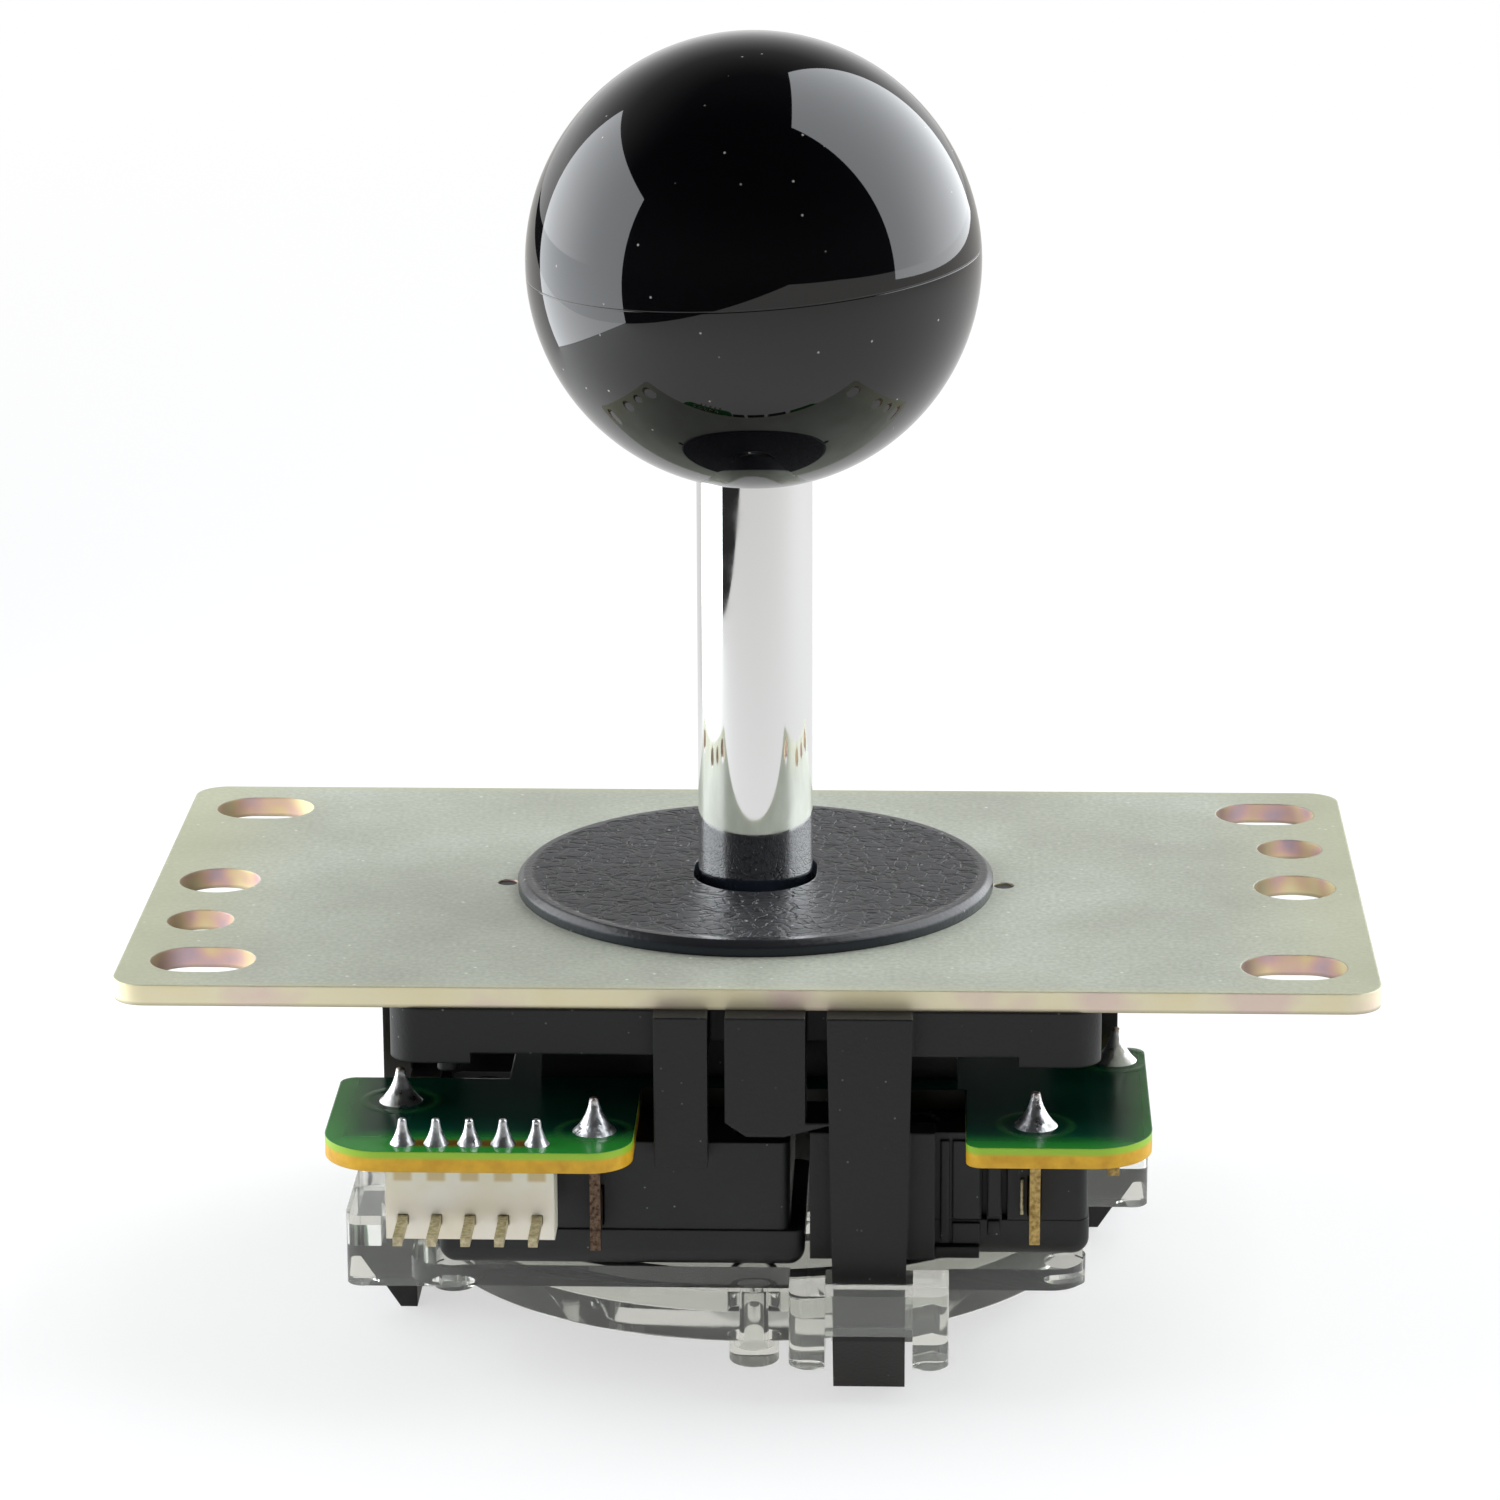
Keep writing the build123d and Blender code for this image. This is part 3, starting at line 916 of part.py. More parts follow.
# Gate disc: round tray with the square opening that stops the lever
with BuildPart() as gate_disc:
    with BuildSketch(Plane.XY.offset(DISC_TOP_Z)):
        Circle(DISC_R)
        Circle(DISC_R - DISC_WALL, mode=Mode.SUBTRACT)
    extrude(amount=DISC_BOTTOM_Z - DISC_TOP_Z)
    with BuildSketch(Plane.XY.offset(DISC_BOTTOM_Z)):
        Circle(DISC_R - DISC_WALL / 2)
    extrude(amount=DISC_FLOOR)
    with BuildSketch(Plane.XY.offset(DISC_BOTTOM_Z)):
        RectangleRounded(
            2 * (GATE_HALF + GATE_WALL), 2 * (GATE_HALF + GATE_WALL), GATE_CORNER + GATE_WALL
        )
    extrude(amount=DISC_TOP_Z - DISC_BOTTOM_Z)
    with BuildSketch(Plane.XY.offset(DISC_TOP_Z)):
        RectangleRounded(2 * GATE_HALF, 2 * GATE_HALF, GATE_CORNER)
    extrude(amount=DISC_BOTTOM_Z - DISC_TOP_Z, mode=Mode.SUBTRACT)
    with Locations((STOP_POST_X, -STOP_POST_Y, DISC_TOP_Z)):
        Cylinder(
            STOP_POST_R, DISC_TOP_Z - DISC_BOTTOM_Z + STOP_POST_DROP,
            align=(Align.CENTER, Align.CENTER, Align.MAX),
        )
        Hole(STOP_POST_BORE_R, depth=DISC_TOP_Z - DISC_BOTTOM_Z + STOP_POST_DROP / 2)
gate_disc.part.label = "gate_disc"
export_step(gate_disc.part, "parts/gate_disc.step")
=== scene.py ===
from math import cos, radians, sin

import bmesh
import bpy
from mathutils import Matrix, Vector


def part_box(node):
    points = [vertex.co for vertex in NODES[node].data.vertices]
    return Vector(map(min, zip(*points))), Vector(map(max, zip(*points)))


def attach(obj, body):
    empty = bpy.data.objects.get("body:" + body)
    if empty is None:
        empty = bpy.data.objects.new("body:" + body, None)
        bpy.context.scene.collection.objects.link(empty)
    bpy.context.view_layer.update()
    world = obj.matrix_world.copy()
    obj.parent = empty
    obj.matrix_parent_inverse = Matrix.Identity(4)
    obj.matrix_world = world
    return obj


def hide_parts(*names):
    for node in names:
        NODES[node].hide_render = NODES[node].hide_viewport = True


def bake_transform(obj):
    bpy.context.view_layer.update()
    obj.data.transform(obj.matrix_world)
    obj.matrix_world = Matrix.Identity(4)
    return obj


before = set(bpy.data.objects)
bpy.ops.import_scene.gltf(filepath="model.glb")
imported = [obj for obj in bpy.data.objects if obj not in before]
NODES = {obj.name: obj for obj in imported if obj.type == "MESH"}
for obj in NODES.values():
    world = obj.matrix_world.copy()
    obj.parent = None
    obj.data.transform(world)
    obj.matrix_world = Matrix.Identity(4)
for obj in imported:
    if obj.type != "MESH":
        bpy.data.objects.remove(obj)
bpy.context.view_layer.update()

MM = 0.001

# Every switch and its metal repeat at a quarter turn; the angle is from the front switch, in degrees
SIDES = {"front": 0, "right": 90, "back": 180, "left": 270}

# Places that the finishes follow, in mm, read from the frame
PLATE_LOW, PLATE_HIGH = (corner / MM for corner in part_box("mounting_plate"))
HEADER_LOW, HEADER_HIGH = (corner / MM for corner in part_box("header_body"))
BOARD_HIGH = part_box("circuit_board")[1] / MM
WASHER_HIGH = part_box("dust_washer")[1] / MM
SOLDER_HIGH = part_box("solder_joints")[1] / MM

# The housing's feet stand on the floor, which is given in metres
FLOOR_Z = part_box("main_housing")[0].z

# A face counts as level where its normal points up or down by more than this share
LEVEL_FROM = 0.7


# Colours and nodes

def colour(code):
    """An sRGB hex value as the linear colour that shaders take."""
    parts = [int(code[i:i + 2], 16) / 255 for i in (1, 3, 5)]
    return tuple(c / 12.92 if c <= 0.04045 else ((c + 0.055) / 1.055) ** 2.4 for c in parts) + (1.0,)


def add(tree, kind, settings=None, inputs=None, stops=None):
    """One node: its settings, a value or another node's output for each named socket, and a ramp's stops."""
    node = tree.nodes.new(kind)
    for name, value in (settings or {}).items():
        setattr(node, name, value)
    for name, value in (inputs or {}).items():
        if isinstance(value, bpy.types.NodeSocket):
            tree.links.new(value, node.inputs[name])
        else:
            node.inputs[name].default_value = value
    for i, (place, shade) in enumerate(stops or []):
        elements = node.color_ramp.elements
        element = elements[i] if i < 2 else elements.new(place)
        element.position, element.color = place, shade
    return node


def finish_named(name, **sockets):
    """A material whose shader has these plain socket values. Returns it, its tree and its shader."""
    made = bpy.data.materials.new(name)
    made.use_nodes = True
    shader = made.node_tree.nodes["Principled BSDF"]
    for socket, value in sockets.items():
        shader.inputs[socket.replace("_", " ")].default_value = value
    return made, made.node_tree, shader


BLACK, WHITE = (0.0, 0.0, 0.0, 1.0), (1.0, 1.0, 1.0, 1.0)


def dust_specks(tree, place, spacing, reach):
    """Specks about spacing mm apart, each reaching that share of the spacing: 1 on a speck and 0 off it."""
    cells = add(tree, "ShaderNodeTexVoronoi", None, {"Vector": place, "Scale": 1 / (spacing * MM)})
    specks = add(tree, "ShaderNodeValToRGB", None, {"Fac": cells.outputs["Distance"]}, [
        (0.0, WHITE), (reach, BLACK)])
    return specks.outputs["Color"]


def soft_edged_skin(tree, shader, height, depth, rounding, samples=6):
    """Edges softened to a rounding, and a surface that a pattern raises to a depth, both in mm."""
    eased = add(tree, "ShaderNodeBevel", {"samples": samples}, {"Radius": rounding * MM})
    skin = add(tree, "ShaderNodeBump", None, {
        "Height": height, "Distance": depth * MM, "Normal": eased.outputs["Normal"]})
    tree.links.new(skin.outputs["Normal"], shader.inputs["Normal"])


# Finishes

def gloss_phenolic():
    """Cast phenolic, turned and polished: black glass to the eye, with a parting line, dust and lint."""
    made, tree, shader = finish_named("gloss_black_phenolic", IOR=1.56)
    place = add(tree, "ShaderNodeTexCoord").outputs["Object"]
    # The parting line lies in a plane about 4 degrees off level, through the ball's middle
    plane_up, plane_height = (-0.0633, -0.0323, 0.9975), 49.99 * MM
    height = add(tree, "ShaderNodeVectorMath", {"operation": "DOT_PRODUCT"}, {0: place, 1: plane_up})
    off = add(tree, "ShaderNodeMath", {"operation": "SUBTRACT"}, {
        0: height.outputs["Value"], 1: plane_height})
    away = add(tree, "ShaderNodeMath", {"operation": "ABSOLUTE"}, {0: off.outputs["Value"]})
    groove = add(tree, "ShaderNodeMapRange", {"interpolation_type": "SMOOTHSTEP"}, {
        "Value": away.outputs["Value"], "From Min": 0.02 * MM, "From Max": 0.09 * MM})
    cut = add(tree, "ShaderNodeBump", None, {"Height": groove.outputs["Result"], "Distance": 0.03 * MM})
    tree.links.new(cut.outputs["Normal"], shader.inputs["Normal"])
    # Dust of about 0.15 mm, one in every few millimetres, and lint stretched to a millimetre or more
    dust = dust_specks(tree, place, 2.1, 0.06)
    swirl = add(tree, "ShaderNodeTexNoise", None, {"Vector": place, "Scale": 1 / (4.0 * MM), "Detail": 2.0})
    turned = add(tree, "ShaderNodeVectorMath", {"operation": "MULTIPLY_ADD"}, {
        0: swirl.outputs["Color"], 1: (4 * MM, 4 * MM, 4 * MM), 2: place})
    stretched = add(tree, "ShaderNodeMapping", {"vector_type": "POINT"}, {
        "Vector": turned.outputs["Vector"], "Rotation": (0.4, 0.9, 0.3), "Scale": (1.0, 0.12, 1.0)})
    lint = add(tree, "ShaderNodeTexVoronoi", None, {
        "Vector": stretched.outputs["Vector"], "Scale": 1 / (4.2 * MM)})
    hairs = add(tree, "ShaderNodeValToRGB", None, {"Fac": lint.outputs["Distance"]}, [
        (0.0, WHITE), (0.022, BLACK), (0.014, WHITE)])
    both = add(tree, "ShaderNodeMath", {"operation": "MAXIMUM"}, {0: dust, 1: hairs.outputs["Color"]})
    tint = add(tree, "ShaderNodeMix", {"data_type": "RGBA"}, {
        "Factor": both.outputs["Value"], "A": colour("#060608"), "B": colour("#c4bfb6")})
    dull = add(tree, "ShaderNodeMix", {"data_type": "FLOAT"}, {
        "Factor": both.outputs["Value"], "A": 0.025, "B": 0.6})
    tree.links.new(tint.outputs["Result"], shader.inputs["Base Color"])
    tree.links.new(dull.outputs["Result"], shader.inputs["Roughness"])
    return made


def chrome_plate():
    """Hard chrome on a ground steel shaft: a cold mirror with the faintest wiping marks."""
    made, tree, shader = finish_named("polished_chrome_plate", Base_Color=colour("#eceded"), Metallic=1.0)
    place = add(tree, "ShaderNodeTexCoord").outputs["Object"]
    wiped = add(tree, "ShaderNodeTexNoise", None, {"Vector": place, "Scale": 1 / (2.0 * MM), "Detail": 4.0})
    dull = add(tree, "ShaderNodeMapRange", None, {
        "Value": wiped.outputs["Fac"], "From Min": 0.4, "From Max": 0.75, "To Min": 0.03, "To Max": 0.08})
    tree.links.new(dull.outputs["Result"], shader.inputs["Roughness"])
    return made


def passivated_steel():
    """Punched sheet steel, zinc plated and passivated: satin grey-green, yellow towards its rims, and pink,
    cream and violet on the punched walls."""
    # The passivate film scatters most of the light, so the plate is far less metallic than bare zinc
    made, tree, shader = finish_named("zinc_passivated_sheet_steel", Metallic=0.3)
    spot = add(tree, "ShaderNodeTexCoord")
    place = spot.outputs["Object"]
    xyz = add(tree, "ShaderNodeSeparateXYZ", None, {"Vector": place})
    level = add(tree, "ShaderNodeSeparateXYZ", None, {"Vector": spot.outputs["Normal"]})
    cloud = add(tree, "ShaderNodeTexNoise", None, {"Vector": place, "Scale": 1 / (16 * MM), "Detail": 4.0})
    sheet = add(tree, "ShaderNodeValToRGB", None, {"Fac": cloud.outputs["Fac"]}, [
        (0.32, colour("#a6a89b")), (0.68, colour("#b9bdb0")), (0.5, colour("#b0b3a5"))])
    # The plating's grain is too fine to show, so it is drawn at 0.4 mm, and with it a few pale specks
    grit = add(tree, "ShaderNodeTexNoise", None, {"Vector": place, "Scale": 1 / (0.4 * MM), "Detail": 2.0})
    specks = dust_specks(tree, place, 2.2, 0.085)
    grained = add(tree, "ShaderNodeMix", {"data_type": "RGBA", "blend_type": "OVERLAY"}, {
        "Factor": 0.34, "A": sheet.outputs["Color"], "B": grit.outputs["Fac"]})
    spotted = add(tree, "ShaderNodeMix", {"data_type": "RGBA"}, {
        "Factor": specks, "A": grained.outputs["Result"], "B": colour("#e6e8de")})
    # The passivate is thicker towards the ends and the rims, where it turns yellow-green
    out_x = add(tree, "ShaderNodeMath", {"operation": "ABSOLUTE"}, {0: xyz.outputs["X"]})
    out_y = add(tree, "ShaderNodeMath", {"operation": "ABSOLUTE"}, {0: xyz.outputs["Y"]})
    ends = add(tree, "ShaderNodeMapRange", {"interpolation_type": "SMOOTHSTEP"}, {
        "Value": out_x.outputs["Value"], "From Min": 34 * MM, "From Max": PLATE_HIGH.x * MM, "To Max": 0.45})
    rims = add(tree, "ShaderNodeMapRange", {"interpolation_type": "SMOOTHSTEP"}, {
        "Value": out_y.outputs["Value"], "From Min": (PLATE_HIGH.y - 1.6) * MM,
        "From Max": PLATE_HIGH.y * MM, "To Max": 0.4})
    bloom = add(tree, "ShaderNodeMath", {"operation": "MAXIMUM"}, {
        0: ends.outputs["Result"], 1: rims.outputs["Result"]})
    bloomed = add(tree, "ShaderNodeMix", {"data_type": "RGBA"}, {
        "Factor": bloom.outputs["Value"], "A": spotted.outputs["Result"], "B": colour("#bdbc90")})
    # Walls: the outer rim is cream with some pink, and the openings run from yellow to pink to violet
    bands = add(tree, "ShaderNodeTexNoise", None, {"Vector": place, "Scale": 1 / (7 * MM), "Detail": 2.0})
    rim = add(tree, "ShaderNodeValToRGB", None, {"Fac": bands.outputs["Fac"]}, [
        (0.35, colour("#fbefc4")), (0.68, colour("#f6dfd0")), (0.52, colour("#fdf3d0"))])
    stains = add(tree, "ShaderNodeTexNoise", None, {"Vector": place, "Scale": 1 / (3 * MM), "Detail": 1.0})
    slot = add(tree, "ShaderNodeValToRGB", None, {"Fac": stains.outputs["Fac"]}, [
        (0.36, colour("#fdf2c4")), (0.7, colour("#d6bdca")),
        (0.47, colour("#f9e0b6")), (0.59, colour("#efc9c2"))])
    # A wall more than 1.2 mm inside the outline belongs to an opening
    inside_x = add(tree, "ShaderNodeMath", {"operation": "LESS_THAN"}, {
        0: out_x.outputs["Value"], 1: (PLATE_HIGH.x - 1.2) * MM})
    inside_y = add(tree, "ShaderNodeMath", {"operation": "LESS_THAN"}, {
        0: out_y.outputs["Value"], 1: (PLATE_HIGH.y - 1.2) * MM})
    inside = add(tree, "ShaderNodeMath", {"operation": "MULTIPLY"}, {
        0: inside_x.outputs["Value"], 1: inside_y.outputs["Value"]})
    wall = add(tree, "ShaderNodeMix", {"data_type": "RGBA"}, {
        "Factor": inside.outputs["Value"], "A": rim.outputs["Color"], "B": slot.outputs["Color"]})
    # The walls at the left ends of the openings are browner
    turned = add(tree, "ShaderNodeMapRange", {"interpolation_type": "SMOOTHSTEP"}, {
        "Value": level.outputs["X"], "From Min": 0.15, "From Max": 0.9, "To Max": 0.8})
    browned = add(tree, "ShaderNodeMath", {"operation": "MULTIPLY"}, {
        0: turned.outputs["Result"], 1: inside.outputs["Value"]})
    wall = add(tree, "ShaderNodeMix", {"data_type": "RGBA"}, {
        "Factor": browned.outputs["Value"], "A": wall.outputs["Result"], "B": colour("#5a4d3a")})
    # The punch leaves the lowest 0.3 mm of a wall torn and brown
    torn = add(tree, "ShaderNodeMapRange", None, {
        "Value": xyz.outputs["Z"], "From Min": (PLATE_LOW.z + 0.3) * MM,
        "From Max": PLATE_LOW.z * MM, "To Max": 0.7})
    walls = add(tree, "ShaderNodeMix", {"data_type": "RGBA"}, {
        "Factor": torn.outputs["Result"], "A": wall.outputs["Result"], "B": colour("#9a8f74")})
    upright = add(tree, "ShaderNodeMath", {"operation": "ABSOLUTE"}, {0: level.outputs["Z"]})
    flat = add(tree, "ShaderNodeMath", {"operation": "GREATER_THAN"}, {
        0: upright.outputs["Value"], 1: LEVEL_FROM})
    shade = add(tree, "ShaderNodeMix", {"data_type": "RGBA"}, {
        "Factor": flat.outputs["Value"], "A": walls.outputs["Result"], "B": bloomed.outputs["Result"]})
    tree.links.new(shade.outputs["Result"], shader.inputs["Base Color"])
    dull = add(tree, "ShaderNodeMapRange", None, {
        "Value": grit.outputs["Fac"], "From Min": 0.3, "From Max": 0.7, "To Min": 0.45, "To Max": 0.58})
    tree.links.new(dull.outputs["Result"], shader.inputs["Roughness"])
    soft_edged_skin(tree, shader, grit.outputs["Fac"], 0.012, 0.22)
    return made


def leather_plastic():
    """Soft black plastic with a moulded leather grain inside a plain rim: creased, with painted shade in the
    creases and a low sheen.
    """
    made, tree, shader = finish_named("leather_grained_black_plastic", IOR=1.5)
    spot = add(tree, "ShaderNodeTexCoord")
    place = spot.outputs["Object"]
    xyz = add(tree, "ShaderNodeSeparateXYZ", None, {"Vector": place})
    level = add(tree, "ShaderNodeSeparateXYZ", None, {"Vector": spot.outputs["Normal"]})
    # Creases about 1.2 mm apart, wavy and broken
    wave = add(tree, "ShaderNodeTexNoise", None, {"Vector": place, "Scale": 1 / (1.5 * MM), "Detail": 3.0})
    bent = add(tree, "ShaderNodeVectorMath", {"operation": "MULTIPLY_ADD"}, {
        0: wave.outputs["Color"], 1: (1.3 * MM, 1.3 * MM, 0.0), 2: place})
    cells = add(tree, "ShaderNodeTexVoronoi", {"feature": "DISTANCE_TO_EDGE"}, {
        "Vector": bent.outputs["Vector"], "Scale": 1 / (1.2 * MM)})
    crease = add(tree, "ShaderNodeMapRange", {"interpolation_type": "SMOOTHSTEP"}, {
        "Value": cells.outputs["Distance"], "From Min": 0.03, "From Max": 0.15})
    faint = add(tree, "ShaderNodeMapRange", None, {
        "Value": wave.outputs["Fac"], "From Min": 0.45, "From Max": 0.62, "To Max": 0.8})
    land = add(tree, "ShaderNodeMath", {"operation": "MAXIMUM"}, {
        0: crease.outputs["Result"], 1: faint.outputs["Result"]})
    # Plain on the side wall and about 1.2 mm in from it
    around = add(tree, "ShaderNodeCombineXYZ", None, {"X": xyz.outputs["X"], "Y": xyz.outputs["Y"]})
    out = add(tree, "ShaderNodeVectorMath", {"operation": "LENGTH"}, {0: around.outputs["Vector"]})
    rim = add(tree, "ShaderNodeMapRange", None, {
        "Value": out.outputs["Value"], "From Min": (WASHER_HIGH.x - 1.4) * MM,
        "From Max": (WASHER_HIGH.x - 1.0) * MM})
    side = add(tree, "ShaderNodeMath", {"operation": "LESS_THAN"}, {0: level.outputs["Z"], 1: LEVEL_FROM})
    plain = add(tree, "ShaderNodeMath", {"operation": "MAXIMUM"}, {
        0: rim.outputs["Result"], 1: side.outputs["Value"]})
    grain_and_crease_shade = add(tree, "ShaderNodeMath", {"operation": "MAXIMUM"}, {
        0: land.outputs["Value"], 1: plain.outputs["Value"]})
    # The creases are painted darker than the lands: painted shade in the creases, beside the bump that the
    # same pattern raises
    tint = add(tree, "ShaderNodeValToRGB", None, {"Fac": grain_and_crease_shade.outputs["Value"]}, [
        (0.0, colour("#020203")), (1.0, colour("#232326"))])
    walled = add(tree, "ShaderNodeMix", {"data_type": "RGBA"}, {
        "Factor": side.outputs["Value"], "A": tint.outputs["Color"], "B": colour("#1d232c")})
    # Pale dust, about 0.2 mm
    dust = dust_specks(tree, place, 1.7, 0.095)
    dusty = add(tree, "ShaderNodeMix", {"data_type": "RGBA"}, {
        "Factor": dust, "A": walled.outputs["Result"], "B": colour("#b2b4b6")})
    tree.links.new(dusty.outputs["Result"], shader.inputs["Base Color"])
    # The pores between the creases are finer than can show, so they are drawn at 0.45 mm
    pores = add(tree, "ShaderNodeTexNoise", None, {"Vector": place, "Scale": 1 / (0.45 * MM), "Detail": 2.0})
    height = add(tree, "ShaderNodeMath", {"operation": "MULTIPLY_ADD"}, {
        0: pores.outputs["Fac"], 1: 0.3, 2: grain_and_crease_shade.outputs["Value"]})
    soft_edged_skin(tree, shader, height.outputs["Value"], 0.09, 0.35)
    dull = add(tree, "ShaderNodeMix", {"data_type": "FLOAT"}, {
        "Factor": plain.outputs["Value"], "A": 0.46, "B": 0.28})
    tree.links.new(dull.outputs["Result"], shader.inputs["Roughness"])
    return made


def black_nylon():
    """Injection-moulded black nylon: a dull skin, softened edges, faint dust caught in it."""
    made, tree, shader = finish_named("moulded_black_nylon", IOR=1.53, Roughness=0.48)
    place = add(tree, "ShaderNodeTexCoord").outputs["Object"]
    # The mould's texture is too fine to show, so it is drawn at 0.3 mm
    skin = add(tree, "ShaderNodeTexNoise", None, {"Vector": place, "Scale": 1 / (0.3 * MM), "Detail": 3.0})
    # Dust of about 0.2 mm, which lies in patches
    dust = dust_specks(tree, place, 1.1, 0.1)
    patches = add(tree, "ShaderNodeTexNoise", None, {"Vector": place, "Scale": 1 / (9 * MM), "Detail": 3.0})
    some = add(tree, "ShaderNodeMapRange", None, {
        "Value": patches.outputs["Fac"], "From Min": 0.42, "From Max": 0.62})
    dusted = add(tree, "ShaderNodeMath", {"operation": "MULTIPLY"}, {0: dust, 1: some.outputs["Result"]})
    tint = add(tree, "ShaderNodeMix", {"data_type": "RGBA"}, {
        "Factor": dusted.outputs["Value"], "A": colour("#0c0c0e"), "B": colour("#8f9092")})
    tree.links.new(tint.outputs["Result"], shader.inputs["Base Color"])
    soft_edged_skin(tree, shader, skin.outputs["Fac"], 0.025, 0.25)
    return made


def black_polyester():
    """Glass-filled polyester of the switches: black-grey, finer and a little duller than the housing."""
    made, tree, shader = finish_named("moulded_black_polyester", IOR=1.54, Roughness=0.5)
    place = add(tree, "ShaderNodeTexCoord").outputs["Object"]
    flow = add(tree, "ShaderNodeTexNoise", None, {"Vector": place, "Scale": 1 / (6 * MM), "Detail": 4.0})
    tint = add(tree, "ShaderNodeValToRGB", None, {"Fac": flow.outputs["Fac"]}, [
        (0.35, colour("#0f1012")), (0.65, colour("#17181b"))])
    dust = dust_specks(tree, place, 1.6, 0.06)
    dusty = add(tree, "ShaderNodeMix", {"data_type": "RGBA"}, {
        "Factor": dust, "A": tint.outputs["Color"], "B": colour("#8b8c8e")})
    tree.links.new(dusty.outputs["Result"], shader.inputs["Base Color"])
    # The glass fibres under the skin are finer than can show, so they are drawn at 0.25 mm
    skin = add(tree, "ShaderNodeTexNoise", None, {"Vector": place, "Scale": 1 / (0.25 * MM), "Detail": 2.0})
    soft_edged_skin(tree, shader, skin.outputs["Fac"], 0.015, 0.2)
    return made


def white_acetal():
    """Moulded white acetal of the pivot, seat and plungers: slightly waxy."""
    made, tree, shader = finish_named(
        "moulded_white_acetal", IOR=1.48, Roughness=0.38, Subsurface_Weight=0.1, Subsurface_Scale=1 * MM)
    place = add(tree, "ShaderNodeTexCoord").outputs["Object"]
    flow = add(tree, "ShaderNodeTexNoise", None, {"Vector": place, "Scale": 1 / (3 * MM), "Detail": 3.0})
    tint = add(tree, "ShaderNodeValToRGB", None, {"Fac": flow.outputs["Fac"]}, [
        (0.35, colour("#e2e1da")), (0.65, colour("#edece7"))])
    tree.links.new(tint.outputs["Color"], shader.inputs["Base Color"])
    soft_edged_skin(tree, shader, flow.outputs["Fac"], 0.02, 0.2, samples=4)
    return made


def spring_steel():
    """Drawn spring wire and turned steel: bright grey, mottled by the marks of drawing and a film of oil."""
    made, tree, shader = finish_named("drawn_spring_steel", Metallic=1.0)
    place = add(tree, "ShaderNodeTexCoord").outputs["Object"]
    # The marks are finer than can show, so they are drawn at 0.3 mm
    marks = add(tree, "ShaderNodeTexNoise", None, {"Vector": place, "Scale": 1 / (0.3 * MM), "Detail": 3.0})
    tint = add(tree, "ShaderNodeValToRGB", None, {"Fac": marks.outputs["Fac"]}, [
        (0.35, colour("#a9a9a8")), (0.65, colour("#cbcbca"))])
    tree.links.new(tint.outputs["Color"], shader.inputs["Base Color"])
    dull = add(tree, "ShaderNodeMapRange", None, {
        "Value": marks.outputs["Fac"], "From Min": 0.3, "From Max": 0.7, "To Min": 0.2, "To Max": 0.36})
    tree.links.new(dull.outputs["Result"], shader.inputs["Roughness"])
    return made


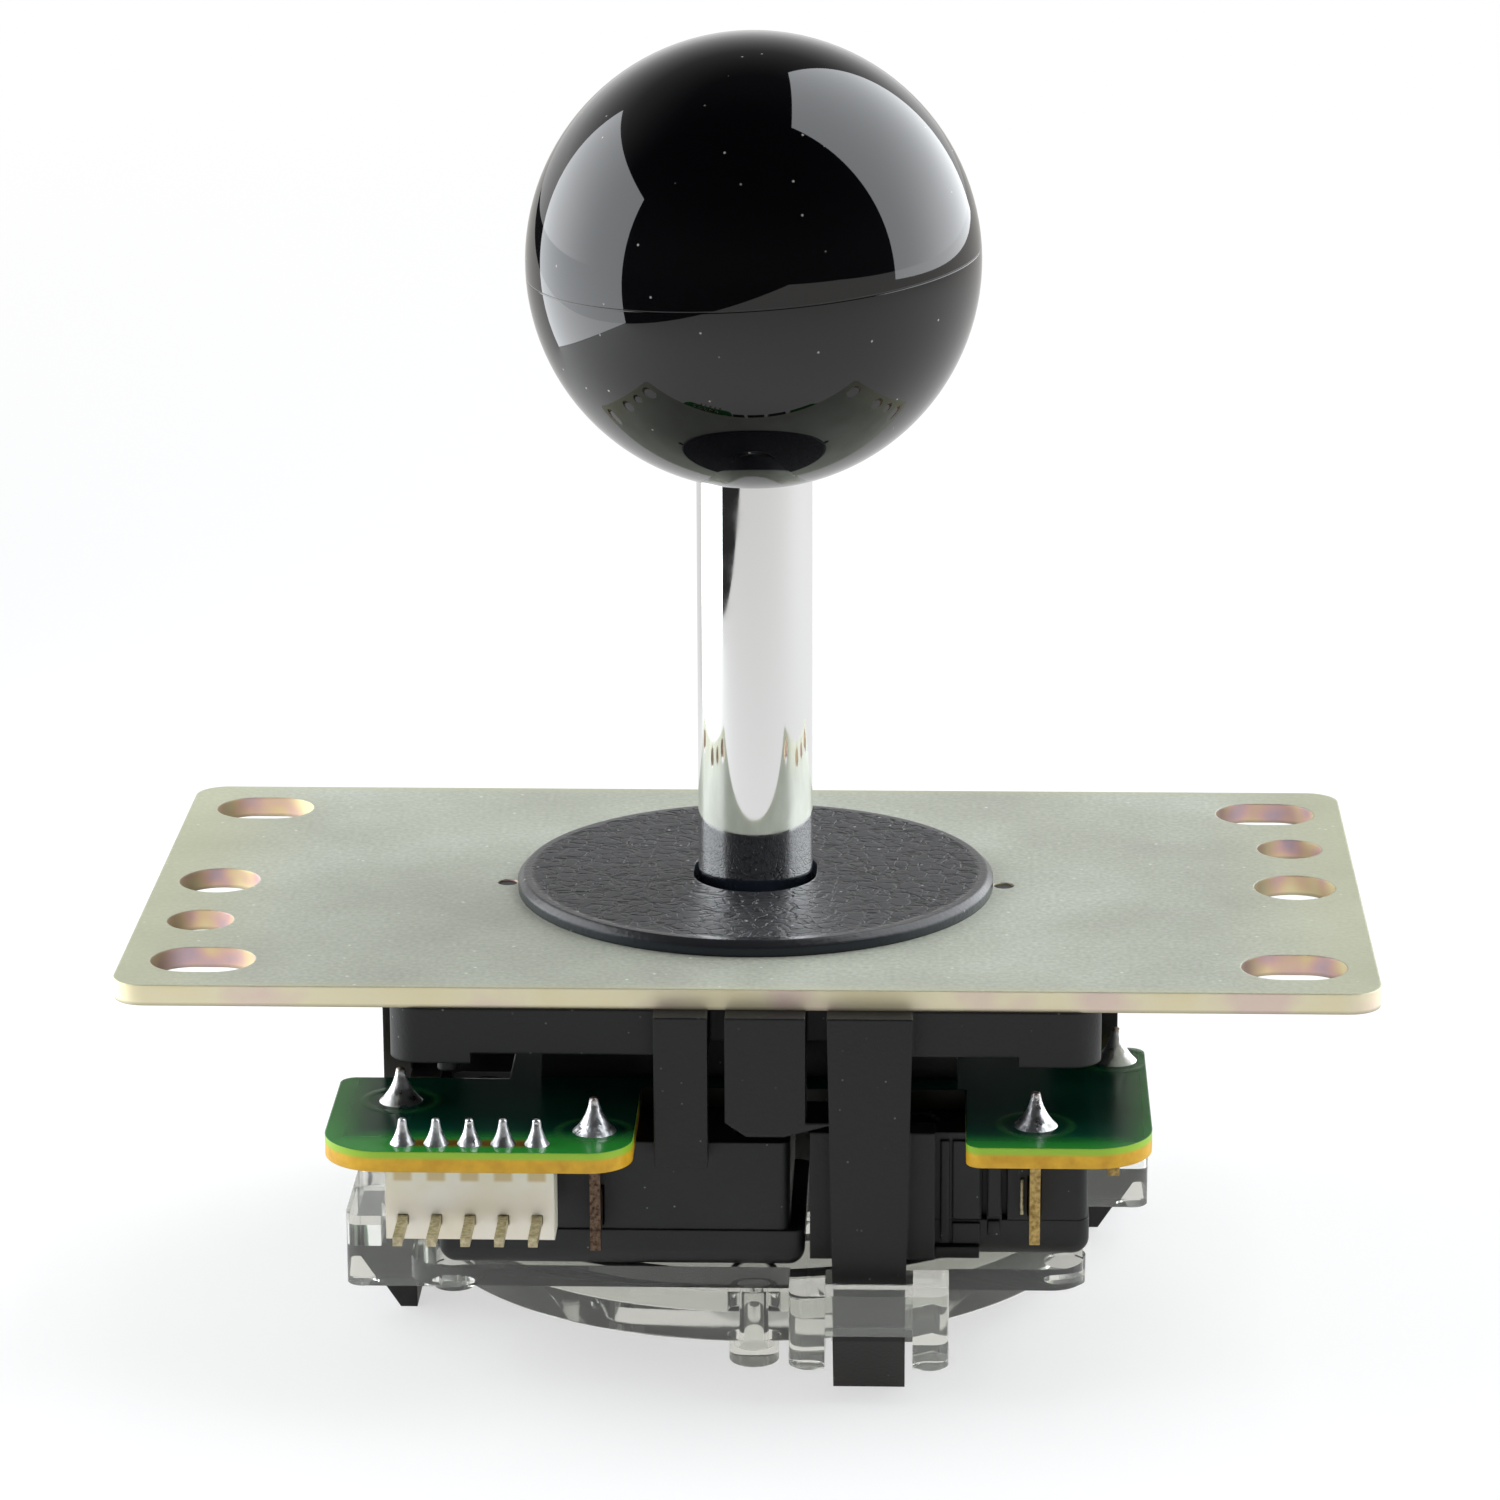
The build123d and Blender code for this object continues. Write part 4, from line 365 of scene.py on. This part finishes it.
def resist_and_laminate(ring_places, flux_places):
    """Green solder resist on a yellow glass laminate: dark and glossy above, painted a warmer green near the
    rim as painted light, amber on the routed edge towards the rim and painted dark brown nearer the middle as
    painted shade, with lighter rings over the copper round the large joints and brown flux between the small
    ones."""
    made, tree, shader = finish_named("green_solder_resist", IOR=1.5)
    spot = add(tree, "ShaderNodeTexCoord")
    place = spot.outputs["Object"]
    xyz = add(tree, "ShaderNodeSeparateXYZ", None, {"Vector": place})
    level = add(tree, "ShaderNodeSeparateXYZ", None, {"Vector": spot.outputs["Normal"]})
    upright = add(tree, "ShaderNodeMath", {"operation": "ABSOLUTE"}, {0: level.outputs["Z"]})
    faces = add(tree, "ShaderNodeMath", {"operation": "GREATER_THAN"}, {
        0: upright.outputs["Value"], 1: LEVEL_FROM})
    flow = add(tree, "ShaderNodeTexNoise", None, {"Vector": place, "Scale": 1 / (5 * MM), "Detail": 3.0})
    resist = add(tree, "ShaderNodeValToRGB", None, {"Fac": flow.outputs["Fac"]}, [
        (0.3, colour("#032c22")), (0.7, colour("#073d2d"))])
    # Painted light: near the rim the resist is painted a warmer green, standing in for light that crosses the
    # thin resist
    flat = add(tree, "ShaderNodeCombineXYZ", None, {"X": xyz.outputs["X"], "Y": xyz.outputs["Y"]})
    reach_x = add(tree, "ShaderNodeMath", {"operation": "ABSOLUTE"}, {0: xyz.outputs["X"]})
    reach_y = add(tree, "ShaderNodeMath", {"operation": "ABSOLUTE"}, {0: xyz.outputs["Y"]})
    reach = add(tree, "ShaderNodeMath", {"operation": "MAXIMUM"}, {
        0: reach_x.outputs["Value"], 1: reach_y.outputs["Value"]})
    near_rim = add(tree, "ShaderNodeMapRange", {"interpolation_type": "SMOOTHSTEP"}, {
        "Value": reach.outputs["Value"], "From Min": (BOARD_HIGH.x - 3.5) * MM,
        "From Max": BOARD_HIGH.x * MM, "To Max": 0.9})
    resist_with_painted_rim_light = add(tree, "ShaderNodeMix", {"data_type": "RGBA"}, {
        "Factor": near_rim.outputs["Result"], "A": resist.outputs["Color"], "B": colour("#2c8a33")})
    shade = resist_with_painted_rim_light.outputs["Result"]
    raised = None
    # Copper under the resist: a ring 2.7 mm from each large joint
    for x, y in ring_places:
        away = add(tree, "ShaderNodeVectorMath", {"operation": "DISTANCE"}, {
            0: flat.outputs["Vector"], 1: (x * MM, y * MM, 0.0)})
        off = add(tree, "ShaderNodeMath", {"operation": "SUBTRACT"}, {0: away.outputs["Value"], 1: 2.7 * MM})
        size = add(tree, "ShaderNodeMath", {"operation": "ABSOLUTE"}, {0: off.outputs["Value"]})
        ring = add(tree, "ShaderNodeMapRange", {"interpolation_type": "SMOOTHSTEP"}, {
            "Value": size.outputs["Value"], "From Min": 0.5 * MM, "From Max": 0.1 * MM, "To Max": 0.4})
        raised = ring if raised is None else add(tree, "ShaderNodeMath", {"operation": "MAXIMUM"}, {
            0: raised.outputs[0], 1: ring.outputs["Result"]})
    ringed = add(tree, "ShaderNodeMix", {"data_type": "RGBA"}, {
        "Factor": raised.outputs[0], "A": shade, "B": colour("#2f6f33")})
    shade = ringed.outputs["Result"]
    # Burnt flux between the small joints, fading out 1.1 mm from its middle
    for x, y in flux_places:
        away = add(tree, "ShaderNodeVectorMath", {"operation": "DISTANCE"}, {
            0: flat.outputs["Vector"], 1: (x * MM, y * MM, 0.0)})
        blot = add(tree, "ShaderNodeMapRange", {"interpolation_type": "SMOOTHSTEP"}, {
            "Value": away.outputs["Value"], "From Min": 1.1 * MM, "From Max": 0.3 * MM, "To Max": 0.85})
        stained = add(tree, "ShaderNodeMix", {"data_type": "RGBA"}, {
            "Factor": blot.outputs["Result"], "A": shade, "B": colour("#87551f")})
        shade = stained.outputs["Result"]
    # The routed edge: amber glass, its fine fibres drawn at 1.2 mm so that they show, and a bright
    # yellow-green line where it shows the resist from the side
    fibres = add(tree, "ShaderNodeTexNoise", None, {"Vector": place, "Scale": 1 / (1.2 * MM), "Detail": 3.0})
    glass = add(tree, "ShaderNodeValToRGB", None, {"Fac": fibres.outputs["Fac"]}, [
        (0.3, colour("#cf9913")), (0.7, colour("#e8b523"))])
    lip = add(tree, "ShaderNodeMapRange", {"interpolation_type": "SMOOTHSTEP"}, {
        "Value": xyz.outputs["Z"], "From Min": (BOARD_HIGH.z - 0.75) * MM,
        "From Max": (BOARD_HIGH.z - 0.35) * MM})
    edge = add(tree, "ShaderNodeMix", {"data_type": "RGBA"}, {
        "Factor": lip.outputs["Result"], "A": glass.outputs["Color"], "B": colour("#9bc832")})
    # Painted light and shade on the routed edges: towards the rim they show the laminate's amber, painted as
    # a glow where light gets into it, and nearer the middle they are painted a dark brown, which is painted
    # shade
    lit = add(tree, "ShaderNodeMapRange", {"interpolation_type": "SMOOTHSTEP"}, {
        "Value": reach.outputs["Value"], "From Min": 19 * MM, "From Max": 23 * MM})
    edges = add(tree, "ShaderNodeMix", {"data_type": "RGBA"}, {
        "Factor": lit.outputs["Result"], "A": colour("#171307"), "B": edge.outputs["Result"]})
    whole = add(tree, "ShaderNodeMix", {"data_type": "RGBA"}, {
        "Factor": faces.outputs["Value"], "A": edges.outputs["Result"], "B": shade})
    tree.links.new(whole.outputs["Result"], shader.inputs["Base Color"])
    dull = add(tree, "ShaderNodeMix", {"data_type": "FLOAT"}, {
        "Factor": faces.outputs["Value"], "A": 0.45, "B": 0.2})
    tree.links.new(dull.outputs["Result"], shader.inputs["Roughness"])
    soft_edged_skin(tree, shader, raised.outputs[0], 0.05, 0.18)
    return made


def bright_solder():
    """Hand-soldered tin-lead: bright, a little wrinkled, brown with flux at each tip."""
    made, tree, shader = finish_named("bright_solder", Metallic=1.0)
    place = add(tree, "ShaderNodeTexCoord").outputs["Object"]
    xyz = add(tree, "ShaderNodeSeparateXYZ", None, {"Vector": place})
    wrinkle = add(tree, "ShaderNodeTexNoise", None, {"Vector": place, "Scale": 1 / (0.8 * MM), "Detail": 3.0})
    tip = add(tree, "ShaderNodeMapRange", None, {
        "Value": xyz.outputs["Z"], "From Min": (SOLDER_HIGH.z - 0.35) * MM,
        "From Max": SOLDER_HIGH.z * MM, "To Max": 0.8})
    tint = add(tree, "ShaderNodeMix", {"data_type": "RGBA"}, {
        "Factor": tip.outputs["Result"], "A": colour("#f2f2f4"), "B": colour("#a98b78")})
    tree.links.new(tint.outputs["Result"], shader.inputs["Base Color"])
    dull = add(tree, "ShaderNodeMapRange", None, {
        "Value": wrinkle.outputs["Fac"], "From Min": 0.3, "From Max": 0.7, "To Min": 0.24, "To Max": 0.5})
    tree.links.new(dull.outputs["Result"], shader.inputs["Roughness"])
    folds = add(tree, "ShaderNodeBump", None, {"Height": wrinkle.outputs["Fac"], "Distance": 0.12 * MM})
    tree.links.new(folds.outputs["Normal"], shader.inputs["Normal"])
    return made


def cream_nylon(mark_places):
    """Natural nylon of the header: cream, with a tan mark at its top over each pin."""
    made, tree, shader = finish_named("moulded_cream_nylon", IOR=1.53, Roughness=0.42)
    place = add(tree, "ShaderNodeTexCoord").outputs["Object"]
    xyz = add(tree, "ShaderNodeSeparateXYZ", None, {"Vector": place})
    flow = add(tree, "ShaderNodeTexNoise", None, {"Vector": place, "Scale": 1 / (3 * MM), "Detail": 3.0})
    cream = add(tree, "ShaderNodeValToRGB", None, {"Fac": flow.outputs["Fac"]}, [
        (0.35, colour("#f8eed8")), (0.65, colour("#fdf6e8"))])
    shade = cream.outputs["Color"]
    top = add(tree, "ShaderNodeMapRange", {"interpolation_type": "SMOOTHSTEP"}, {
        "Value": xyz.outputs["Z"], "From Min": (HEADER_HIGH.z - 1.25) * MM,
        "From Max": (HEADER_HIGH.z - 0.95) * MM})
    for x in mark_places:
        off = add(tree, "ShaderNodeMath", {"operation": "SUBTRACT"}, {0: xyz.outputs["X"], 1: x * MM})
        size = add(tree, "ShaderNodeMath", {"operation": "ABSOLUTE"}, {0: off.outputs["Value"]})
        across = add(tree, "ShaderNodeMapRange", {"interpolation_type": "SMOOTHSTEP"}, {
            "Value": size.outputs["Value"], "From Min": 0.85 * MM, "From Max": 0.5 * MM})
        mark = add(tree, "ShaderNodeMath", {"operation": "MULTIPLY"}, {
            0: across.outputs["Result"], 1: top.outputs["Result"]})
        marked = add(tree, "ShaderNodeMix", {"data_type": "RGBA"}, {
            "Factor": mark.outputs["Value"], "A": shade, "B": colour("#e0c797")})
        shade = marked.outputs["Result"]
    tree.links.new(shade, shader.inputs["Base Color"])
    soft_edged_skin(tree, shader, flow.outputs["Fac"], 0.02, 0.25)
    return made


def stamped_metal(name, dark, pale, dull_from, dull_to):
    """Stamped strip: a metal that is uneven in colour, with its shine broken by handling."""
    made, tree, shader = finish_named(name, Metallic=1.0)
    place = add(tree, "ShaderNodeTexCoord").outputs["Object"]
    # The stains are finer than can show, so they are drawn at 0.35 mm
    stain = add(tree, "ShaderNodeTexNoise", None, {"Vector": place, "Scale": 1 / (0.35 * MM), "Detail": 4.0})
    tint = add(tree, "ShaderNodeValToRGB", None, {"Fac": stain.outputs["Fac"]}, [
        (0.35, colour(dark)), (0.65, colour(pale))])
    tree.links.new(tint.outputs["Color"], shader.inputs["Base Color"])
    dull = add(tree, "ShaderNodeMapRange", None, {
        "Value": stain.outputs["Fac"], "From Min": 0.3, "From Max": 0.7,
        "To Min": dull_from, "To Max": dull_to})
    tree.links.new(dull.outputs["Result"], shader.inputs["Roughness"])
    pits = add(tree, "ShaderNodeBump", None, {"Height": stain.outputs["Fac"], "Distance": 0.03 * MM})
    tree.links.new(pits.outputs["Normal"], shader.inputs["Normal"])
    return made


def clear_acrylic():
    """Injection-moulded clear acrylic: clear with a slight milkiness and bright, softly wavy faces."""
    # An IOR a little under acrylic's usual 1.49 keeps the gate's many edges from reading dark
    made, tree, shader = finish_named(
        "clear_moulded_acrylic", Base_Color=colour("#f8faf6"), IOR=1.4, Transmission_Weight=0.92)
    place = add(tree, "ShaderNodeTexCoord").outputs["Object"]
    flow = add(tree, "ShaderNodeTexNoise", None, {"Vector": place, "Scale": 1 / (5 * MM), "Detail": 2.0})
    dull = add(tree, "ShaderNodeMapRange", None, {
        "Value": flow.outputs["Fac"], "From Min": 0.3, "From Max": 0.7, "To Min": 0.01, "To Max": 0.06})
    tree.links.new(dull.outputs["Result"], shader.inputs["Roughness"])
    return made


# Pieces

# Widths in mm, and angles past which an edge shows as a crease, gets rounded, or no longer counts as flat
GATE_ROUNDING, RIB_ROUNDING, BEAD_ROUNDING = 0.18, 0.08, 0.1
CREASED_FROM, ROUNDED_FROM, FLAT_WITHIN = radians(50), radians(30), radians(0.6)

# Where the spring's two parts begin and end, as shares of its height, from its top down
SPRING_BENDS = (0.0, 0.24, 0.48)


def piece_from(mesh, name, body, finish):
    """A shown piece from a bmesh, its flat faces kept flat. One that bends across a joint gets no body."""
    data = bpy.data.meshes.new(name)
    mesh.to_mesh(data)
    mesh.free()
    for face in data.polygons:
        face.use_smooth = True
    data.set_sharp_from_angle(angle=CREASED_FROM)
    data.materials.append(finish)
    piece = bpy.data.objects.new(name, data)
    bpy.context.scene.collection.objects.link(piece)
    weighted = piece.modifiers.new("flat_faces", "WEIGHTED_NORMAL")
    weighted.keep_sharp = True
    if body:
        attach(piece, body)
    return piece


def merged_copy(node):
    """A bmesh of a CAD node's shape, with its loose triangles joined."""
    mesh = bmesh.new()
    mesh.from_mesh(NODES[node].data)
    bmesh.ops.remove_doubles(mesh, verts=mesh.verts, dist=0.003 * MM)
    return mesh


def round_edges(mesh, edges, rounding):
    """Rounds these edges, to a width in mm."""
    bmesh.ops.bevel(
        mesh, geom=edges, offset=rounding * MM, offset_type="OFFSET", segments=2, profile=0.5,
        affect="EDGES", material=-1, clamp_overlap=True)


def eased_copy(node, name, rounding, finish):
    """A piece in a CAD node's place, with the node's flat faces joined and its sharp edges rounded."""
    mesh = merged_copy(node)
    bmesh.ops.dissolve_limit(mesh, angle_limit=FLAT_WITHIN, verts=mesh.verts, edges=mesh.edges)
    sharp = [
        edge for edge in mesh.edges
        if len(edge.link_faces) == 2 and edge.calc_face_angle(0.0) > ROUNDED_FROM]
    round_edges(mesh, sharp, rounding)
    piece = piece_from(mesh, name, "base", finish)
    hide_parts(node)


def spring_part(name, upper, finish):
    """The upper or lower part of the centring spring, which lies between the bodies at its top and its
    bottom.
    """
    low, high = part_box("centring_spring")
    # Both bends lie in its upper half, above the actuator's sleeve
    ends = [high.z + share * (low.z - high.z) for share in SPRING_BENDS]
    mesh = merged_copy("centring_spring")
    bmesh.ops.bisect_plane(
        mesh, geom=mesh.verts[:] + mesh.edges[:] + mesh.faces[:], plane_co=(0, 0, ends[1]),
        plane_no=(0, 0, 1), clear_inner=upper, clear_outer=not upper)
    bmesh.ops.holes_fill(mesh, edges=[edge for edge in mesh.edges if edge.is_boundary], sides=0)
    bmesh.ops.recalc_face_normals(mesh, faces=mesh.faces)
    piece = piece_from(mesh, name, None, finish)
    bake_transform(piece)
    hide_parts("centring_spring")


def box_of(mesh, low, high, rounding):
    """A small moulded block between two corners, with its edges rounded. All in mm."""
    middle = (Vector(low) + Vector(high)) / 2 * MM
    size = (Vector(high) - Vector(low)) * MM
    made = bmesh.ops.create_cube(
        mesh, size=1.0, matrix=Matrix.Translation(middle) @ Matrix.Diagonal(size).to_4x4())
    round_edges(mesh, [edge for edge in mesh.edges if edge.verts[0] in made["verts"]], rounding)


# The right switch's free end, in mm: where its face is, how deep the raised parts are rooted in it, and each
# part's lowest corner across and up the face, its highest one, and how far it is raised
END_FACE_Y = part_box("switch_case_right")[0].y / MM
ROOT_DEPTH = 0.1
END_PANELS = [
    ((14.72, -21.2), (15.42, -12.9), 0.25),
    ((15.62, -19.2), (17.75, -12.9), 0.25),
    ((15.62, -21.2), (17.75, -19.5), 0.25),
    ((14.3, -22.3), (17.7, -21.35), 0.45),
    ((18.3, -18.95), (19.35, -12.9), 0.25),
    ((18.3, -20.5), (19.25, -19.3), 0.25),
]
TERMINAL_BEAD = ((20.74, -18.8), (21.05, -15.95), 0.35)


def on_switch_end(name, side, panels, rounding, finish):
    """Raised parts on one switch's free end, modelled on the right switch and turned to its side."""
    mesh = bmesh.new()
    for low, high, raised in panels:
        front, root = END_FACE_Y - raised, END_FACE_Y + ROOT_DEPTH
        box_of(mesh, (low[0], front, low[1]), (high[0], root, high[1]), rounding)
    turn = Matrix.Rotation(radians(SIDES[side] - SIDES["right"]), 3, "Z")
    bmesh.ops.rotate(mesh, verts=mesh.verts, cent=(0, 0, 0), matrix=turn)
    piece_from(mesh, name + "_" + side, "base", finish)


# Finishes on the CAD nodes

def solid_middles(node):
    """The middle of each separate solid of a node, in mm, from left to right."""
    mesh = merged_copy(node)
    left, middles = set(mesh.verts), []
    while left:
        group, waiting = [], [left.pop()]
        while waiting:
            vert = waiting.pop()
            group.append(vert)
            for edge in vert.link_edges:
                other = edge.other_vert(vert)
                if other in left:
                    left.discard(other)
                    waiting.append(other)
        low = [min(v.co[i] for v in group) / MM for i in range(3)]
        high = [max(v.co[i] for v in group) / MM for i in range(3)]
        middles.append([(a + b) / 2 for a, b in zip(low, high)])
    mesh.free()
    return sorted(middles)


joints = solid_middles("solder_joints")
small_joints = [(x, y) for x, y, z in joints if HEADER_LOW.x < x < HEADER_HIGH.x and y < HEADER_HIGH.y]
flux_blots = [((a[0] + b[0]) / 2, a[1]) for a, b in zip(small_joints, small_joints[1:])]
large_joints = [(x, y) for x, y, z in joints if (x, y) not in small_joints]
pin_rows = [x for x, y, z in solid_middles("header_pins")]

housing_nylon = black_nylon()
acetal = white_acetal()
steel = spring_steel()
switch_polyester = black_polyester()
dull_brass = stamped_metal("tinned_brass", "#b3a685", "#e2d8b8", 0.4, 0.6)
# A darker, browner copy of the terminals' gilt bronze: painted shade for the terminals that face away from
# the large lamp
shaded_terminal_bronze = stamped_metal("terminal_bronze_painted_shade", "#3f3029", "#85705f", 0.35, 0.55)
gilt_bronze = stamped_metal("gilt_phosphor_bronze", "#8a7242", "#d2b678", 0.3, 0.55)
acrylic = clear_acrylic()

FINISHES = {
    "ball_top": gloss_phenolic(), "shaft": chrome_plate(), "retaining_ring": steel,
    "dust_washer": leather_plastic(), "mounting_plate": passivated_steel(), "plate_screws": steel,
    "main_housing": housing_nylon, "pivot": acetal, "spring_seat": acetal,
    "centring_spring": steel, "actuator": housing_nylon,
    "circuit_board": resist_and_laminate(large_joints, flux_blots),
    "solder_joints": bright_solder(), "header_body": cream_nylon(pin_rows), "header_pins": dull_brass,
    "gate_frame": acrylic, "gate_disc": acrylic,
}
for side in SIDES:
    FINISHES["switch_case_" + side] = FINISHES["switch_cover_" + side] = switch_polyester
    FINISHES["plunger_" + side] = acetal
    FINISHES["contact_blade_" + side] = gilt_bronze
    # The front and left switches' terminals take the darker copy, as painted shade
    FINISHES["terminals_" + side] = gilt_bronze if side in ("right", "back") else shaded_terminal_bronze
for name, finish in FINISHES.items():
    data = NODES[name].data
    data.materials.clear()
    data.materials.append(finish)


# Clear gate with moulded edges
eased_copy("gate_frame", "gate_frame_moulded", GATE_ROUNDING, acrylic)
eased_copy("gate_disc", "gate_disc_moulded", GATE_ROUNDING, acrylic)


# The spring in two parts, between its fixed seat and the actuator
spring_part("spring_above", True, steel)
spring_part("spring_below", False, steel)


# Ribs and latch on each switch's free end, and the bright bead of metal beside its terminal
for side in SIDES:
    on_switch_end("end_ribs", side, END_PANELS, RIB_ROUNDING, switch_polyester)
    on_switch_end("terminal_bead", side, [TERMINAL_BEAD], BEAD_ROUNDING, dull_brass)


# Camera at the photograph's angle: its place in mm, its turn, and the focal length in picture widths
CAMERA_PLACE = Vector((14.2, -418.3, 130.3))
YAW, PITCH, ROLL = radians(-2.0), radians(15.908), radians(-0.2)
FOCAL = 3.6957
ahead = Vector((sin(YAW) * cos(PITCH), cos(YAW) * cos(PITCH), -sin(PITCH)))
level = Vector((cos(YAW), -sin(YAW), 0.0))
raised = level.cross(ahead)
right = cos(ROLL) * level + sin(ROLL) * raised
up = -sin(ROLL) * level + cos(ROLL) * raised
camera_data = bpy.data.cameras.new("camera")
camera_data.sensor_width = 36
camera_data.lens = FOCAL * camera_data.sensor_width
camera_data.clip_start, camera_data.clip_end = 0.01, 20
camera = bpy.data.objects.new("camera", camera_data)
camera.matrix_world = (
    Matrix.Translation(CAMERA_PLACE * MM) @ Matrix((right, up, -ahead)).transposed().to_4x4())
bpy.context.scene.collection.objects.link(camera)
bpy.context.scene.camera = camera


# Colours are shown as they are written
bpy.context.scene.view_settings.view_transform = "Standard"


# Floor: white paper that keeps a soft shadow and stays white to the camera, to metal and through the gate
FLOOR_HALF = 3.0
# The share of the paper's white that is its own glow: near the object, far off, and seen through the gate
GLOW_NEAR, GLOW_FAR, GLOW_THROUGH_GATE = 0.6, 1.0, 0.95
# How far from the middle the near glow ends and the far one begins, in metres
NEAR_ENDS, FAR_BEGINS = 0.12, 0.6
# The paper ends in front at the left, along a straight line: the direction across it, and how far away it is
PAPER_END_WAY, PAPER_END_AWAY = (0.9206, 0.3905, 0.0), -212.3 * MM

floor_mesh = bmesh.new()
bmesh.ops.create_grid(floor_mesh, x_segments=1, y_segments=1, size=FLOOR_HALF)
bmesh.ops.translate(floor_mesh, verts=floor_mesh.verts, vec=(0, 0, FLOOR_Z))
floor_data = bpy.data.meshes.new("floor")
floor_mesh.to_mesh(floor_data)
floor_mesh.free()
floor = bpy.data.objects.new("floor", floor_data)
bpy.context.scene.collection.objects.link(floor)

paper, tree, shader = finish_named("white_paper", Base_Color=colour("#fbfbfb"), Roughness=0.9)
rays = add(tree, "ShaderNodeLightPath")
seen = add(tree, "ShaderNodeMath", {"operation": "MAXIMUM"}, {
    0: rays.outputs["Is Camera Ray"], 1: rays.outputs["Is Glossy Ray"]})
shown = add(tree, "ShaderNodeMath", {"operation": "MAXIMUM"}, {
    0: seen.outputs["Value"], 1: rays.outputs["Is Transmission Ray"]})
place = add(tree, "ShaderNodeTexCoord").outputs["Object"]
# The glow grows with distance, so that the paper runs into the white surround
distance = add(tree, "ShaderNodeVectorMath", {"operation": "LENGTH"}, {0: place})
glowing = add(tree, "ShaderNodeMapRange", {"interpolation_type": "SMOOTHSTEP"}, {
    "Value": distance.outputs["Value"], "From Min": NEAR_ENDS, "From Max": FAR_BEGINS,
    "To Min": GLOW_NEAR, "To Max": GLOW_FAR})
through = add(tree, "ShaderNodeMix", {"data_type": "FLOAT"}, {
    "Factor": rays.outputs["Is Transmission Ray"], "A": glowing.outputs["Result"], "B": GLOW_THROUGH_GATE})
share = add(tree, "ShaderNodeMath", {"operation": "MULTIPLY"}, {
    0: shown.outputs["Value"], 1: through.outputs["Result"]})
# Past the paper's end the shaft and the ball show a dark table
towards = add(tree, "ShaderNodeVectorMath", {"operation": "DOT_PRODUCT"}, {0: place, 1: PAPER_END_WAY})
past = add(tree, "ShaderNodeMath", {"operation": "LESS_THAN"}, {
    0: towards.outputs["Value"], 1: PAPER_END_AWAY})
table = add(tree, "ShaderNodeMath", {"operation": "MULTIPLY"}, {
    0: past.outputs["Value"], 1: rays.outputs["Is Glossy Ray"]})
covered = add(tree, "ShaderNodeMath", {"operation": "MAXIMUM"}, {
    0: share.outputs["Value"], 1: table.outputs["Value"]})
tone = add(tree, "ShaderNodeMix", {"data_type": "RGBA"}, {
    "Factor": rays.outputs["Is Glossy Ray"], "A": WHITE, "B": colour("#dbd8d4")})
shown_tone = add(tree, "ShaderNodeMix", {"data_type": "RGBA"}, {
    "Factor": table.outputs["Value"], "A": tone.outputs["Result"], "B": colour("#2c2b2b")})
glow = add(tree, "ShaderNodeEmission", None, {"Color": shown_tone.outputs["Result"], "Strength": 1.0})
mixed = add(tree, "ShaderNodeMixShader", None, {"Fac": covered.outputs["Value"]})
tree.links.new(shader.outputs["BSDF"], mixed.inputs[1])
tree.links.new(glow.outputs["Emission"], mixed.inputs[2])
tree.links.new(mixed.outputs["Shader"], tree.nodes["Material Output"].inputs["Surface"])
floor.data.materials.append(paper)


# Surround: white to the camera and through the gate, and a plain dim light to dull surfaces. To gloss it is a
# white sweep behind the object that fades upwards into a dim room, and the same dim room in front.
DIM_ROOM, PLAIN_LIGHT = 0.03, 0.3
world = bpy.data.worlds.new("white_sweep")
bpy.context.scene.world = world
world.use_nodes = True
tree = world.node_tree
way = add(tree, "ShaderNodeTexCoord").outputs["Generated"]
xyz = add(tree, "ShaderNodeSeparateXYZ", None, {"Vector": way})
sweep = add(tree, "ShaderNodeValToRGB", None, {"Fac": xyz.outputs["Z"]}, [
    (0.2, WHITE), (0.9, (DIM_ROOM, DIM_ROOM, DIM_ROOM, 1)),
    (0.5, (0.45, 0.45, 0.45, 1)), (0.65, (0.2, 0.2, 0.2, 1))])
behind = add(tree, "ShaderNodeMapRange", {"interpolation_type": "SMOOTHSTEP"}, {
    "Value": xyz.outputs["Y"], "From Min": -0.15, "From Max": 0.45, "To Min": DIM_ROOM})
gloss = add(tree, "ShaderNodeMath", {"operation": "MULTIPLY"}, {
    0: sweep.outputs["Color"], 1: behind.outputs["Result"]})
rays = add(tree, "ShaderNodeLightPath")
clear = add(tree, "ShaderNodeMath", {"operation": "MAXIMUM"}, {
    0: rays.outputs["Is Camera Ray"], 1: rays.outputs["Is Transmission Ray"]})
lit = add(tree, "ShaderNodeMix", {"data_type": "FLOAT"}, {
    "Factor": rays.outputs["Is Glossy Ray"], "A": PLAIN_LIGHT, "B": gloss.outputs["Value"]})
strength = add(tree, "ShaderNodeMix", {"data_type": "FLOAT"}, {
    "Factor": clear.outputs["Value"], "A": lit.outputs["Result"], "B": 1.0})
tree.links.new(strength.outputs["Result"], tree.nodes["Background"].inputs["Strength"])
tree.nodes["Background"].inputs["Color"].default_value = WHITE


# Lamps: a large soft box at the right and a small one at the left, where the ball shows them. They are a
# little cool, and a brightness of 1 would show as white.
LAMP_BRIGHTNESS = 2.6
LAMP_COLOUR = (0.93, 0.965, 1.0)


def soft_box(name, place, facing, width, height):
    """A soft box with its middle at place, facing one way. Its place and size are in mm."""
    data = bpy.data.lights.new(name, "AREA")
    data.shape, data.size, data.size_y = "RECTANGLE", width * MM, height * MM
    data.energy = 4 * data.size * data.size_y * LAMP_BRIGHTNESS
    data.color = LAMP_COLOUR
    lamp = bpy.data.objects.new(name, data)
    lamp.matrix_world = (
        Matrix.Translation(Vector(place) * MM) @ Vector(facing).to_track_quat("-Z", "Y").to_matrix().to_4x4())
    lamp.visible_camera = False
    bpy.context.scene.collection.objects.link(lamp)


soft_box("right_box", (375, 301, 640), (-0.98, -0.13, -0.14), 900, 1280)
soft_box("left_box", (-160, 6, 71), (0.96, -0.278, -0.06), 205, 204)
